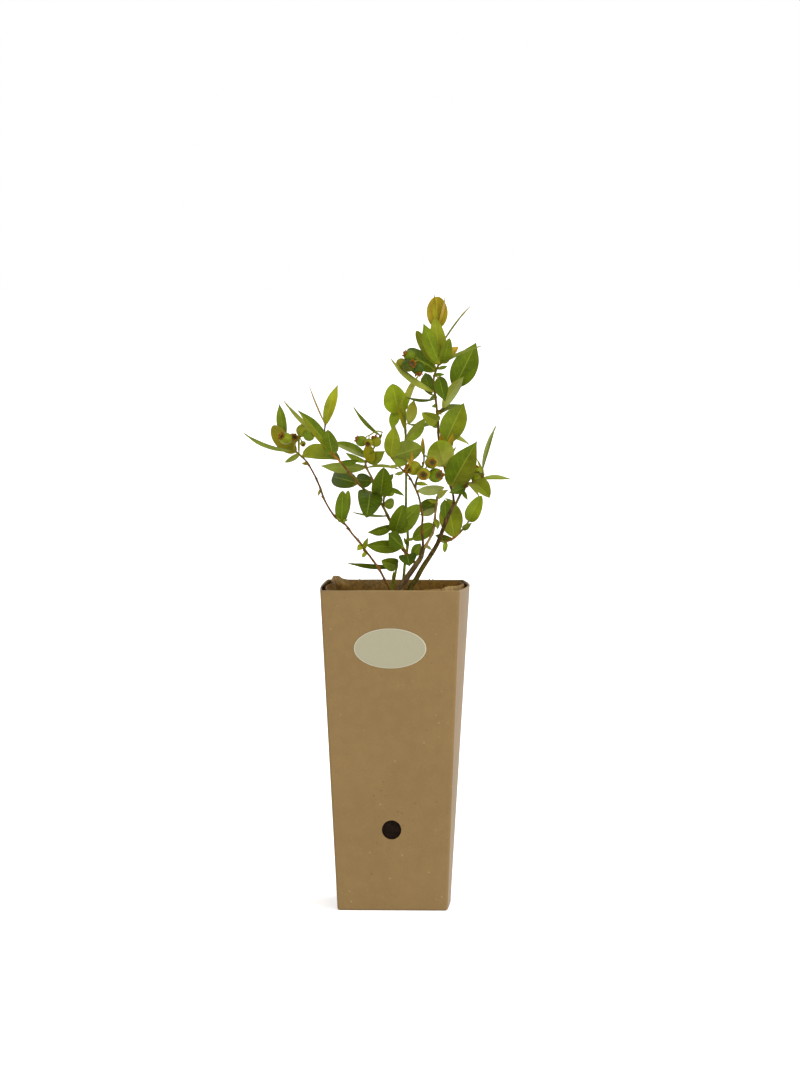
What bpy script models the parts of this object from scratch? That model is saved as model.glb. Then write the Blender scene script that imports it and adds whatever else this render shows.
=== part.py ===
"""Young blueberry bush in a tall tapered carton of kraft board, filled with soil.

Metres, +Z up. The origin is the centre of the carton's underside, and the label faces -Y. Sizes below are in
millimetres, times MM. Places on the plant are given as they are seen from EYE, in millimetres against the carton's
mid plane, and slid along the line of sight to a depth of their own (0 is the mid plane, less is nearer).
"""

import math
import random
from collections import namedtuple

import bmesh
import bpy
from mathutils import Matrix, Vector
from mathutils.geometry import intersect_point_line

MM = 0.001
GAP = 0.3 * MM
EYE = Vector((176.8, -4485.7, 622.5)) * MM

# Carton
CARTON_HEIGHT = 266 * MM
BASE_HALF = 45.5 * MM
TOP_HALF = 57.5 * MM
TOP_LEAN = -1.6 * MM
BOARD = 1.6 * MM
CORNER_RADIUS = 2.2 * MM
FOOT_BEVEL = 1.0 * MM
CREASE_RIGHT = (1.0 * MM, 6.6 * MM)
CREASE_LEFT = (0.4 * MM, 1.8 * MM)
WALL_LEVELS = (0.25, 0.5, 0.75)
HOLE_DIAMETER = 16 * MM
HOLE_X = -0.6 * MM
HOLE_Z = 67.2 * MM
HOLE_SIDES = 28

# Label
LABEL_WIDTH = 59.4 * MM
LABEL_HEIGHT = 33.0 * MM
LABEL_X = -1.5 * MM
LABEL_Z = 217.9 * MM
LABEL_THICKNESS = 0.4 * MM
LABEL_SIDES = 40

# Liner and soil
LINER_FOOT = 202.7 * MM
LINER_RIM = 262.5 * MM
LINER_THICKNESS = 1.0 * MM
LINER_POINTS = 48
LINER_LEVELS = (0.0, 0.6, 1.0)
SOIL_TOP = 238 * MM
SOIL_SHOULDER = 202 * MM
SOIL_POINTS = 24
SOIL_RINGS = (0.8, 0.55, 0.3)
CRUMB = 1.6 * MM
SOCKET_DEPTH = 14 * MM
SOCKET_GAP = 0.5 * MM

# Leaves, stems and berries
BLADE = 0.7 * MM
STALK_RADIUS = 0.55 * MM
LONG_STATIONS = (0.0, 0.11, 0.32, 0.58, 0.84, 1.0)
MIDDLE_STATIONS = (0.0, 0.15, 0.45, 0.8, 1.0)
SHORT_STATIONS = (0.0, 0.25, 0.7, 1.0)
LONG_LEAF = 27 * MM
SHORT_LEAF = 13 * MM
BASE_HALF_WIDTH = 0.55 * MM
TIP_HALF_WIDTH = 0.35 * MM
ON_STEM = 2.2 * MM
STEM_SIDES = 6
SPREAD = 1.8
CROWN_LOBES = 5
SCRAP = 0.05 * MM**3

Leaf = namedtuple("Leaf", "base tip width turn arch fold depth")
Stem = namedtuple("Stem", "points radii")
Berry = namedtuple("Berry", "centre radius crown root")


def leaf(base, tip, width, turn=0, arch=0.07, fold=18, depth=None):
    """One blade from base (x, z) to tip (x, z, depth). Turned 0 degrees it shows its upper face, 180 its lower one.
    depth is given where the base stands off its stem, on a stalk."""
    return Leaf(base, tip, width, turn, arch, fold, depth)


# Each shoot's stems as points (x, z, depth), with the radius at the foot and at the tip.
STEMS = {
    "cane_brown": [
        Stem([(-1, 226, -2), (0, 240, -2), (4.6, 263, -4), (9, 270, -5), (14.5, 278, -6), (19.5, 285, -7),
              (22.2, 290, -7.6), (23.6, 296.5, -8.2)], (2.7, 2.0)),
    ],
    "cane_green": [
        Stem([(6, 226, 8), (8, 242, 7), (13, 263, 5), (17.5, 270, 4), (23, 280, 3), (29.5, 290, 2), (35.5, 300, 0),
              (39.3, 310, -2), (43, 320, -4), (47.3, 329, -6), (49.3, 333.2, -6.6)], (2.7, 1.6)),
    ],
    "shoot_left": [
        Stem([(6, 226, -14), (3, 240, -14), (-4, 262, -13), (-8, 270, -13), (-13, 279, -12), (-20, 289, -11),
              (-25, 295, -10), (-28, 300, -9), (-35, 308, -7), (-41, 316, -4), (-50, 323, -1), (-58, 336, 5),
              (-62, 347, 9), (-67, 358, 13), (-73, 368, 17), (-79, 374, 19), (-84, 378, 20)], (1.3, 0.8)),
    ],
    "shoot_mid_left": [
        Stem([(17.1, 284.1, -5.3), (11, 290, 2), (4, 301, 5), (0, 310, 7), (-2.5, 316, 9), (-8, 328, 12),
              (-14, 338, 13), (-17, 341, 13), (-24, 344.5, 11), (-30, 350, 7), (-36, 357, 2), (-40, 362, -2),
              (-45, 368, -7), (-50, 373, -10), (-54, 378, -12), (-57, 386, -13), (-58, 393, -14),
              (-57.5, 399, -14)], (1.5, 0.8)),
        Stem([(-16.5, 340.5, 13), (-17, 347, 14), (-19, 355, 14), (-24, 365, 14), (-22, 372, 14), (-17, 380, 12),
              (-12, 388, 10), (-10.5, 391.5, 9)], (1.0, 0.7)),
        Stem([(-9, 330, 12.3), (-9, 336, 13), (-8, 343, 14), (-8, 348, 15)], (0.9, 0.7)),
    ],
    "shoot_upright": [
        Stem([(2, 226, 15), (3, 240, 15), (6, 262, 13), (7.5, 272, 12), (8.5, 283, 11), (10.5, 296, 10),
              (11, 306, 9), (10.3, 315, 8.5), (9.5, 325, 8), (9.5, 340, 8), (9.6, 355, 8), (9.4, 370, 8),
              (9.2, 386, 8), (8.8, 398, 8), (8, 410, 8)], (1.3, 0.9)),
    ],
    "sucker": [
        Stem([(-8, 226, 7), (-6, 240, 7), (-2.5, 262, 6), (-0.5, 270, 5), (1.2, 278, 5), (2.3, 285, 6)], (1.7, 0.8)),
    ],
    "shoot_dark": [
        Stem([(23.5, 296.9, -9.3), (23.4, 304, -11), (22.5, 312, -12), (23.2, 322, -14), (21.5, 333, -16),
              (19.5, 341, -18), (17, 346.5, -19), (12, 356, -18), (6, 362, -17), (1, 367, -16), (-3, 372, -15)],
             (1.6, 0.75)),
        Stem([(17.5, 345.5, -19), (18, 352, -17), (21, 359, -12), (24, 367, -10), (24.5, 374, -10)], (0.9, 0.7)),
    ],
    "shoot_pale": [
        Stem([(24.9, 296.9, -7.1), (30, 306, -2.5), (32.5, 312, 2), (33.5, 322, 6), (34.5, 332, 8), (35.5, 339.5, 10)],
             (1.5, 1.0)),
    ],
    "leader": [
        Stem([(49.1, 334.4, -6.4), (48.5, 341, -5.5), (46.5, 348, -4), (43, 358, 0), (39, 374, 3), (36.5, 387, 5),
              (36, 400, 6), (35, 412, 6), (33.5, 425, 6), (32.5, 436, 5), (34, 443, 5), (36.5, 449, 4), (38, 456, 3),
              (37.5, 466, 3), (36, 476, 3), (35, 482, 2)], (1.3, 0.8)),
        Stem([(35.2, 410, 6), (40, 412, 8), (44, 418, 10), (48, 427, 12), (50, 431, 12)], (0.9, 0.6)),
    ],
    "shoot_right": [
        Stem([(50.7, 333.1, -7.4), (55.5, 343, -10.5), (61, 350, -14), (67, 351, -14.5), (72.8, 354.5, -15.5),
              (73.3, 358, -16), (73, 362.5, -16.5)], (1.2, 0.8)),
    ],
    "shoot_low_right": [
        Stem([(38.9, 302.3, 0.2), (42, 301.8, 3), (50, 305.5, 6), (56, 311.5, 6), (61.5, 319, 4)], (0.9, 0.65)),
    ],
}

LEAVES = {
    "shoot_left": [
        leaf((-43, 318.6), (-43, 345.5, -18), 12.5, turn=8),
        leaf((-41, 316.4), (-36.5, 341, 6), 9, turn=-12),
        leaf((-25.2, 295.4), (-22, 305, -14), 4.5, turn=20),
        leaf((-27.2, 298.8), (-31, 294.5, -14), 5.5),
        leaf((-23.5, 293.3), (-27, 288.5, -12), 4),
        leaf((-61.5, 345.5), (-63.5, 339.5, 6), 2.4),
        leaf((-72, 366.5), (-77, 367, 14), 3),
        leaf((-83, 377.2), (-125.5, 391.8, 4), 8, turn=50),
        leaf((-84.6, 380.5), (-95.5, 416, 42), 9.5, turn=15, arch=0.02, depth=24),
        leaf((-81.5, 376), (-103, 398, 34), 14, turn=20),
        leaf((-79.3, 374.2), (-91.5, 366.5, 12), 5),
        leaf((-77, 372.5), (-45.5, 373, 26), 16, turn=-30),
    ],
    "shoot_mid_left": [
        leaf((-54, 378), (-80.5, 411, -42), 13, turn=-28),
        leaf((-51, 374), (-56, 395, -24), 15, turn=6),
        leaf((-57, 386), (-92, 418.5, 8), 8, turn=48),
        leaf((-58, 396.5), (-70.5, 430, -22), 4, turn=60),
        leaf((-57.4, 398.2), (-47, 432, -8), 10.5, turn=14),
        leaf((-22, 371), (-53, 384, 4), 11, turn=-40),
        leaf((-23, 368), (-40.5, 375.5, 22), 6, turn=30),
        leaf((-45, 368), (-29.5, 369.5, -3), 7, turn=-40),
        leaf((-23.8, 363.5), (-61.5, 364.7, 4), 10, turn=160, fold=10),
        leaf((-30, 350.5), (-51.5, 355.5, 40), 17, turn=-6),
        leaf((-18.3, 352.5), (-31.5, 353.5, 27), 13, turn=10),
        leaf((-20.5, 342.8), (-22.5, 321.5, -28), 21, turn=8),
        leaf((-5.5, 322), (-34.5, 325, 22), 5, turn=60),
        leaf((-10.7, 332.5), (-10, 363.5, -6), 17.5, turn=-6),
        leaf((-9, 333), (-0.5, 334.5, 22), 10, turn=-15),
        leaf((-8.3, 340.5), (0.5, 345, 22), 7, turn=-10),
        leaf((-8, 346.2), (8, 340, 15), 5, turn=30),
        leaf((-8, 347.5), (-1, 358, 24), 7, turn=30),
        leaf((-23, 368.2), (-8, 377, 3), 12, turn=-10),
        leaf((-23, 363.2), (4, 362, 18), 5, turn=56),
        leaf((-20.6, 374.3), (-24.5, 385.5, 6), 6.5, turn=10),
        leaf((-11, 389.5), (-34.3, 414, 14), 6, turn=50),
        leaf((1, 308.5), (6.5, 332.5, -9), 15, turn=6),
        leaf((0.5, 309.5), (19.5, 332.5, 0), 17, turn=-8),
        leaf((-2, 314.6), (-22.5, 309.5, -4), 9.5, turn=30),
        leaf((9.5, 292.5), (-24.5, 299.5, -8), 13.5, turn=18, fold=12),
        leaf((7.5, 297), (-5, 309, -16), 15, turn=150, fold=12, arch=0.03, depth=-4),
        leaf((10.8, 290.4), (12, 281.5, -12), 15, turn=4),
        leaf((14.3, 289.5), (21.5, 300.5, 12), 9.5, turn=-10, depth=7),
    ],
    "shoot_upright": [
        leaf((8, 406.5), (-3, 433, 0), 20, turn=8),
        leaf((3, 413), (-2.5, 395, 9), 9.5, turn=-10, depth=12),
        leaf((8.1, 409), (20, 440, 18), 8, turn=48),
        leaf((11.5, 399.5), (16, 419.5, 22), 9.5, turn=-16, fold=6, depth=12),
        leaf((8.8, 401), (7, 422, -8), 7.5, turn=28),
        leaf((9, 394), (2, 415.5, -4), 3),
        leaf((9.2, 385), (25.5, 405, 6), 12, turn=-18, fold=28),
        leaf((11, 299), (7.5, 305.5, 2), 3),
        leaf((11, 303), (16, 304.5, 14), 3),
    ],
    "sucker": [
        leaf((1.3, 280), (-39, 283.6, 14), 7, turn=52),
        leaf((1.6, 282), (-10.8, 286, -12), 12.5, turn=8),
        leaf((-0.8, 268), (-0.6, 277.5, 1), 3),
    ],
    "shoot_dark": [
        leaf((-2, 370.8), (25, 380.5, -18), 18, turn=168, fold=8),
        leaf((-3, 372), (-1, 398.5, -28), 13.5, turn=4),
        leaf((-1, 369), (10.5, 366.5, -20), 7, turn=-20),
        leaf((3.2, 365), (-5, 363.5, -12), 3.5),
        leaf((24.5, 373), (23.5, 389, -12), 4, turn=20),
        leaf((18, 350), (28, 349, -24), 4, turn=20),
        leaf((8, 360.5), (0, 357.8, -14), 4, turn=30),
    ],
    "shoot_pale": [
        leaf((41, 347), (17.8, 343.8, -4), 9.5, turn=155, fold=8, depth=7),
        leaf((35.3, 338), (44.5, 345, -4), 6, turn=20),
        leaf((35, 336.5), (22, 327.5, 22), 14, turn=10),
        leaf((34.2, 329.5), (21, 324, 9), 7, turn=150, fold=8),
        leaf((34.8, 334.5), (27.5, 336.5, 2), 3),
        leaf((33.4, 321), (36, 312, 0), 5.5, turn=24),
        leaf((32.9, 316), (15.3, 303.5, 7), 13, turn=-6),
        leaf((26.5, 298.5), (30.8, 295, -8), 3),
    ],
    "cane_green": [
        leaf((42.6, 319), (41.5, 337, 8), 10, turn=-6),
    ],
    "leader": [
        leaf((46.4, 347.5), (68.2, 385.3, -34), 24.5, turn=2),
        leaf((43.4, 356), (51, 381.5, 18), 5.5, turn=40),
        leaf((37.4, 382.5), (38.5, 391.5, -4), 4.5, turn=10),
        leaf((38.8, 375), (46.8, 392, 0), 4.5, turn=-14),
        leaf((41.5, 364.5), (36, 385.5, -22), 21.5, turn=176, fold=8, arch=0.02),
        leaf((40.5, 384.5), (57.6, 417, 14), 22, turn=8, depth=6),
        leaf((36.9, 393), (62, 382.4, 26), 6, turn=40),
        leaf((35.3, 407), (55, 415.5, 28), 7, turn=50),
        leaf((36, 401), (22.5, 408, -14), 11, turn=10),
        leaf((36, 403), (11, 399.4, 22), 6, turn=130),
        leaf((40, 412), (57, 438.8, -6), 10.5, turn=156, fold=8),
        leaf((33, 438), (39, 417.8, -8), 13, turn=-8),
        leaf((33.6, 422), (25, 441.5, 24), 10.5, turn=10),
        leaf((33.4, 426), (-3.2, 453.6, 4), 8.5, turn=138),
        leaf((33.7, 420.5), (9, 422, -4), 5, turn=56),
        leaf((34, 443), (9.5, 461, 26), 15, turn=10),
        leaf((35.6, 446), (18, 476.5, 12), 14, turn=24),
        leaf((36, 454), (24, 482.8, -22), 14, turn=160, fold=8, arch=0.02, depth=-2),
        leaf((38, 457), (33, 486.5, -4), 13.5, turn=-4, fold=10),
        leaf((35.4, 478.5), (35, 505, 14), 18.5, turn=0),
        leaf((35, 481.8), (33.2, 506.8, 4), 4, turn=30),
        leaf((35.4, 479.5), (41.6, 504, 6), 4, turn=-30),
        leaf((37, 450), (44, 471, 18), 11.5, turn=-6),
        leaf((37.9, 454), (52.5, 464.3, -8), 8, turn=22),
        leaf((37.6, 463), (62.6, 497.2, 18), 4.5, turn=60),
        leaf((49.6, 430), (67.6, 467.2, 4), 22.5, turn=-4),
        leaf((36.3, 448.2), (71.8, 464.2, -18), 5, turn=54),
        leaf((35, 445), (46.5, 447.3, 12), 2.8),
        leaf((33.6, 440.5), (43, 440, 0), 2.8),
        leaf((49.4, 335), (41.5, 338, -12), 2.2, arch=0.02),
    ],
    "shoot_right": [
        leaf((73, 361.5), (84.2, 398.6, -14), 9, turn=46),
        leaf((72.9, 359.5), (68, 371.5, -34), 2.4),
        leaf((71.5, 354.4), (96, 354, 0), 8, turn=46),
        leaf((64.5, 350.4), (77, 338.5, -38), 14, turn=38, fold=34),
        leaf((58.5, 347), (45.2, 342.3, -26), 8.5, turn=-6),
        leaf((56.3, 344.3), (60.5, 336.5, -18), 4),
        leaf((60.3, 350), (70.5, 338.5, -14), 4, turn=50),
    ],
    "shoot_low_right": [
        leaf((50, 305.5), (44, 337.5, 18), 20, turn=4, fold=8),
        leaf((61.5, 319), (72, 340.2, -8), 13.5, turn=4),
        leaf((56.5, 312), (64, 317.5, -4), 5.5),
        leaf((48, 304.5), (33.8, 307.2, 17), 6, turn=20),
        leaf((42.5, 302), (41, 291.8, 2), 4.5),
    ],
}

# Each bunch: its shoot, the stem that carries its berries, then berries as centre (x, z, depth), radius, the way the
# crown looks (x, z, depth) and the point of the stem that the berry's stalk comes from.
BUNCHES = {
    "bunch_left": (
        "shoot_left",
        Stem([(-83.3, 379.2, 17), (-82, 384, 12), (-79, 388, 9)], (0.7, 0.6)),
        [
            Berry((-91, 387, 3), 5.2, (-1, 0.3, -0.5), 1),
            Berry((-86, 386.5, 12.5), 4.6, (0.7, 0.5, 0.3), 1),
            Berry((-76, 394, 9), 5.6, (0.5, 1, -0.3), 2),
            Berry((-70.5, 387.5, 1), 4.7, (0.4, 1, -0.2), 2),
            Berry((-76, 383, 6), 2.5, (0.2, -0.5, -1), 2),
        ],
    ),
    "bunch_mid_left": (
        "shoot_mid_left",
        Stem([(-10.6, 392.8, 8.8), (-15, 393.5, 4), (-21, 390, 0)], (0.65, 0.6)),
        [
            Berry((-27.5, 385.3, -2), 4.9, (-1, 0.5, -0.3), 2),
            Berry((-21.5, 384, -10), 3.8, (-0.2, -0.3, -1), 2),
            Berry((-15.5, 384.8, -3), 4.7, (-0.4, 1, -0.2), 1),
        ],
    ),
    "bunch_middle": (
        "shoot_dark",
        Stem([(25, 373.4, -11.9), (27, 372, -16), (27, 366, -20), (25, 361, -21)], (0.7, 0.6)),
        [
            Berry((16, 363, -27), 6.4, (-1, -0.1, -0.4), 3),
            Berry((24, 358, -36.5), 5.6, (0, -0.1, -1), 3),
            Berry((34, 357, -24), 6.4, (0.8, 0.7, -0.2), 3),
            Berry((30.5, 367.5, -29), 5.4, (0.2, 0.1, -1), 2),
        ],
    ),
    "bunch_top": (
        "leader",
        Stem([(33, 444.2, 3.4), (27, 449, -3), (20, 452, -7)], (0.7, 0.6)),
        [
            Berry((12.6, 456, -4), 5.1, (-1, 0.5, -0.3), 2),
            Berry((14, 447, -13), 5.6, (-0.3, -0.2, -1), 2),
            Berry((23, 445, -4), 5.6, (0.3, -1, -0.4), 1),
            Berry((6.8, 447.5, -4), 4.4, (-1, -0.3, 0.2), 2),
        ],
    ),
    "bunch_right": (
        "shoot_right",
        Stem([(73.1, 358.6, -14.8), (71.5, 358.6, -9)], (0.65, 0.6)),
        [
            Berry((68.2, 360.4, 3), 4.3, (0.2, 1, -0.1), 1),
            Berry((68.6, 353.8, -4), 5.1, (1, 0.3, -0.2), 1),
        ],
    ),
}

BARK = (0.10, 0.045, 0.018)
GREEN_BARK = (0.06, 0.055, 0.012)
YOUNG_GREEN = (0.16, 0.22, 0.02)
LEAF_GREEN = (0.12, 0.19, 0.01)
DARK_GREEN = (0.07, 0.12, 0.01)
PALE_GREEN = (0.24, 0.28, 0.05)
BERRY_GREEN = (0.17, 0.21, 0.03)
KRAFT = (0.30, 0.19, 0.08)
KRAFT_PAPER = (0.20, 0.12, 0.04)
LABEL_PAPER = (0.48, 0.43, 0.29)
PEAT = (0.02, 0.011, 0.005)

COLOURS = {
    "cane_brown": BARK,
    "cane_green": GREEN_BARK,
    "shoot_left": LEAF_GREEN,
    "shoot_mid_left": LEAF_GREEN,
    "shoot_upright": YOUNG_GREEN,
    "sucker": DARK_GREEN,
    "shoot_dark": DARK_GREEN,
    "shoot_pale": PALE_GREEN,
    "leader": LEAF_GREEN,
    "shoot_right": LEAF_GREEN,
    "shoot_low_right": DARK_GREEN,
}


def clear_scene():
    for item in list(bpy.data.objects):
        bpy.data.objects.remove(item, do_unlink=True)


def seen(x, z, depth):
    """The point at a depth that stands at x, z of the mid plane when it is looked at from EYE."""
    at_middle = Vector((x * MM, 0.0, z * MM))
    reach = (depth * MM - EYE.y) / -EYE.y
    return EYE + (at_middle - EYE) * reach


def material(name, colour, roughness=0.6):
    mat = bpy.data.materials.new(name)
    mat.use_nodes = True
    shader = mat.node_tree.nodes["Principled BSDF"]
    shader.inputs["Base Color"].default_value = (*colour, 1.0)
    shader.inputs["Roughness"].default_value = roughness
    shader.inputs["Metallic"].default_value = 0.0
    mat.diffuse_color = (*colour, 1.0)
    return mat


def link(name, mesh, mat=None):
    item = bpy.data.objects.new(name, mesh)
    bpy.context.scene.collection.objects.link(item)
    if mat:
        mesh.materials.clear()
        mesh.materials.append(mat)
    return item


def mesh_of(name, shape):
    """A mesh from (points, faces), with its faces turned outwards."""
    points, faces = shape
    mesh = bpy.data.meshes.new(name)
    mesh.from_pydata(points, [], faces)
    work = bmesh.new()
    work.from_mesh(mesh)
    bmesh.ops.triangulate(work, faces=[face for face in work.faces if len(face.verts) > 4])
    bmesh.ops.recalc_face_normals(work, faces=work.faces)
    work.to_mesh(mesh)
    work.free()
    return mesh


def loft(rings, bottom=True, top=True):
    """Quads between rings of equal length, closed by a face over the first and the last."""
    points = [point for ring in rings for point in ring]
    count = len(rings[0])
    faces = []
    for level in range(len(rings) - 1):
        for side in range(count):
            after = (side + 1) % count
            low, high = level * count, (level + 1) * count
            faces.append((low + side, low + after, high + after, high + side))
    if bottom:
        faces.append(tuple(reversed(range(count))))
    if top:
        faces.append(tuple((len(rings) - 1) * count + side for side in range(count)))
    return points, faces


def apply_modifiers(item):
    graph = bpy.context.evaluated_depsgraph_get()
    mesh = bpy.data.meshes.new_from_object(item.evaluated_get(graph))
    item.modifiers.clear()
    item.data = mesh


def shells(mesh):
    """The faces of each connected shell, with the volume it encloses (negative round a hollow)."""
    mesh.faces.ensure_lookup_table()
    left = set(mesh.faces)
    while left:
        shell, edge = set(), [left.pop()]
        while edge:
            face = edge.pop()
            shell.add(face)
            for side in face.edges:
                near = [other for other in side.link_faces if other in left]
                left.difference_update(near)
                edge += near
        volume = 0.0
        for face in shell:
            first, *rest = (corner.co for corner in face.verts)
            volume += sum(first.dot(a.cross(b)) for a, b in zip(rest, rest[1:])) / 6
        yield list(shell), volume


def fill_hollows(item):
    """Drops the shells that fusing seals inside, and scraps too small to see."""
    work = bmesh.new()
    work.from_mesh(item.data)
    for faces, volume in list(shells(work)):
        if volume < SCRAP:
            bmesh.ops.delete(work, geom=faces, context="FACES")
    work.to_mesh(item.data)
    work.free()


def cut(item, shape):
    """Takes a closed shape away from an object."""
    cutter = link(item.name + "_cutter", mesh_of("cutter", shape))
    cutter.hide_render = True
    cutter.display_type = "WIRE"
    change = item.modifiers.new("cut", "BOOLEAN")
    change.operation = "DIFFERENCE"
    change.solver = "EXACT"
    change.object = cutter
    apply_modifiers(item)
    bpy.data.objects.remove(cutter, do_unlink=True)


def union(name, shapes, mat):
    """One body from closed shapes that reach into each other."""
    item = link(name, mesh_of(name, shapes[0]), mat)
    if len(shapes) == 1:
        return item
    parts = bpy.data.collections.new(name + "_parts")
    bpy.context.scene.collection.children.link(parts)
    for number, shape in enumerate(shapes[1:]):
        mesh = mesh_of(f"{name}_{number}", shape)
        mesh.materials.append(mat)
        parts.objects.link(bpy.data.objects.new(mesh.name, mesh))
    change = item.modifiers.new("join", "BOOLEAN")
    change.operation = "UNION"
    change.solver = "MANIFOLD"
    change.operand_type = "COLLECTION"
    change.collection = parts
    apply_modifiers(item)
    for part in list(parts.objects):
        bpy.data.objects.remove(part, do_unlink=True)
    bpy.data.collections.remove(parts)
    fill_hollows(item)
    return item


def share(height):
    return height / CARTON_HEIGHT


def half_side(height):
    return BASE_HALF + (TOP_HALF - BASE_HALF) * share(height)


def crease(limits, height):
    return limits[0] + (limits[1] - limits[0]) * share(height)


def outline(height, inset=0.0):
    """The carton's section at a height, moved inwards, anticlockwise from the front right corner."""
    half = half_side(height) - inset
    radius = max(CORNER_RADIUS - inset, 0.3 * MM)
    middle = TOP_LEAN * share(height)
    points = []
    for quarter in range(4):
        turn = math.radians(90 * quarter)
        sign_x, sign_y = ((1, -1), (1, 1), (-1, 1), (-1, -1))[quarter]
        centre = Vector((middle + sign_x * (half - radius), sign_y * (half - radius), height))
        for step in range(4):
            angle = turn - math.pi / 2 + math.radians(30 * step)
            points.append(centre + Vector((math.cos(angle), math.sin(angle), 0)) * radius)
        if quarter == 0:
            points.append(Vector((middle + half + crease(CREASE_RIGHT, height), 0, height)))
        if quarter == 2:
            points.append(Vector((middle - half - crease(CREASE_LEFT, height), 0, height)))
    return points


def resampled(points, count):
    """A closed outline as evenly spaced points."""
    lengths = [(points[(i + 1) % len(points)] - points[i]).length for i in range(len(points))]
    step = sum(lengths) / count
    result = []
    index, walked = 0, 0.0
    for number in range(count):
        goal = number * step
        while walked + lengths[index] < goal:
            walked += lengths[index]
            index += 1
        along = (goal - walked) / lengths[index]
        result.append(points[index].lerp(points[(index + 1) % len(points)], along))
    return result


def wall_heights(low, high):
    """Heights from low to high, with those between at which the walls' slight twist is followed."""
    between = [level * CARTON_HEIGHT for level in WALL_LEVELS if low < level * CARTON_HEIGHT < high]
    return [low] + between + [high]


def make_carton():
    outside = [outline(0, FOOT_BEVEL)] + [outline(height) for height in wall_heights(FOOT_BEVEL, CARTON_HEIGHT)]
    carton = link("carton", mesh_of("carton", loft(outside)), material("kraft_board", KRAFT, 0.85))
    above = CARTON_HEIGHT + 10 * MM
    inside = loft([outline(height, BOARD) for height in wall_heights(BOARD, above)])
    cut(carton, inside)
    ring = []
    for depth in (-BASE_HALF - 20 * MM, -BASE_HALF + 15 * MM):
        circle = []
        for side in range(HOLE_SIDES):
            angle = 2 * math.pi * side / HOLE_SIDES
            offset = Vector((math.cos(angle), 0, math.sin(angle))) * HOLE_DIAMETER / 2
            circle.append(Vector((HOLE_X, depth, HOLE_Z)) + offset)
        ring.append(circle)
    cut(carton, loft(ring))
    return carton


def on_front_wall(x, up, out):
    """A point on the front wall's outer face, up along it from the label's middle and out from it."""
    slope = (TOP_HALF - BASE_HALF) / CARTON_HEIGHT
    along = Vector((0, -slope, 1)).normalized()
    outward = Vector((0, -1, -slope)).normalized()
    return Vector((x, -half_side(LABEL_Z), LABEL_Z)) + along * up + outward * out


def make_label():
    rings = []
    for out in (GAP, GAP + LABEL_THICKNESS):
        ring = []
        for side in range(LABEL_SIDES):
            angle = 2 * math.pi * side / LABEL_SIDES
            x = LABEL_X + LABEL_WIDTH / 2 * math.cos(angle)
            ring.append(on_front_wall(x, LABEL_HEIGHT / 2 * math.sin(angle), out))
        rings.append(ring)
    return link("label", mesh_of("label", loft(rings)), material("label_paper", LABEL_PAPER, 0.7))


def bump(angle, centre, width):
    """A smooth hump round an angle in degrees, 1 at its middle."""
    away = (angle - centre + 180) % 360 - 180
    return math.exp(-(away / width) ** 2)


def liner_pull(angle, level):
    """How far the liner stands off the wall: it cuts the front right corner and leaves the left wall near its back."""
    slack = 9.0 * bump(angle, -45, 16) + 4.0 * bump(angle, 18, 18) + 5.0 * bump(angle, 152, 12)
    slack += 3.0 * bump(angle, -140, 14) + 2.0 * bump(angle, 45, 9)
    ripple = 0.5 + 0.5 * math.sin(math.radians(angle * 11)) * math.cos(math.radians(angle * 4 + 60))
    return (slack + ripple) * MM * level


def liner_rim(angle):
    wave = 0.8 * math.sin(math.radians(angle * 5 + 20)) + 0.5 * math.sin(math.radians(angle * 13))
    fold = 6.5 * bump(angle, 128, 5) + 3.0 * bump(angle, 118, 7) + 2.5 * bump(angle, 30, 14)
    return LINER_RIM + (wave + fold) * MM


def make_liner():
    walls = []
    for thickness in (0.0, LINER_THICKNESS):
        rings = []
        for level in LINER_LEVELS:
            ring = []
            for point in resampled(outline(LINER_FOOT), LINER_POINTS):
                angle = math.degrees(math.atan2(point.y, point.x))
                height = LINER_FOOT + (liner_rim(angle) - LINER_FOOT) * level
                grown = half_side(min(height, CARTON_HEIGHT)) / half_side(LINER_FOOT)
                flat = Vector((point.x * grown, point.y * grown, 0))
                inward = -flat.normalized() * (BOARD + 2 * GAP + liner_pull(angle, level) + thickness) * 1.15
                ring.append(Vector((flat.x + inward.x, flat.y + inward.y, height)))
            rings.append(ring)
        walls.append(rings)
    rings = walls[0] + list(reversed(walls[1]))
    points, faces = loft(rings, bottom=False, top=False)
    last = (len(rings) - 1) * LINER_POINTS
    for side in range(LINER_POINTS):
        after = (side + 1) % LINER_POINTS
        faces.append((last + side, last + after, after, side))
    return link("paper_liner", mesh_of("paper_liner", (points, faces)), material("kraft_paper", KRAFT_PAPER, 0.9))


def make_soil():
    """Soil fills the carton, steps in under the liner, and has a crumbly top with a plain hole for each cane."""
    draw = random.Random(11)
    under_liner = BOARD + 4 * GAP + LINER_THICKNESS + 3.2 * MM
    heights = wall_heights(BOARD + GAP, SOIL_SHOULDER)
    rings = [resampled(outline(height, BOARD + 2 * GAP), SOIL_POINTS) for height in heights]
    rings.append(resampled(outline(SOIL_SHOULDER + GAP, under_liner), SOIL_POINTS))
    rim = resampled(outline(SOIL_TOP, under_liner + 7 * MM), SOIL_POINTS)
    middle = Vector((TOP_LEAN, 0, SOIL_TOP))
    for scale in (1.0,) + SOIL_RINGS:
        rings.append([middle.lerp(point, scale) + Vector((0, 0, draw.uniform(-CRUMB, CRUMB))) for point in rim])
    soil = link("soil", mesh_of("soil", loft(rings)), material("peat_soil", PEAT, 0.95))
    for name, stems in STEMS.items():
        if stems[0].points[0][1] < SOIL_TOP / MM:
            cut(soil, socket(stems[0]))
    return soil


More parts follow.
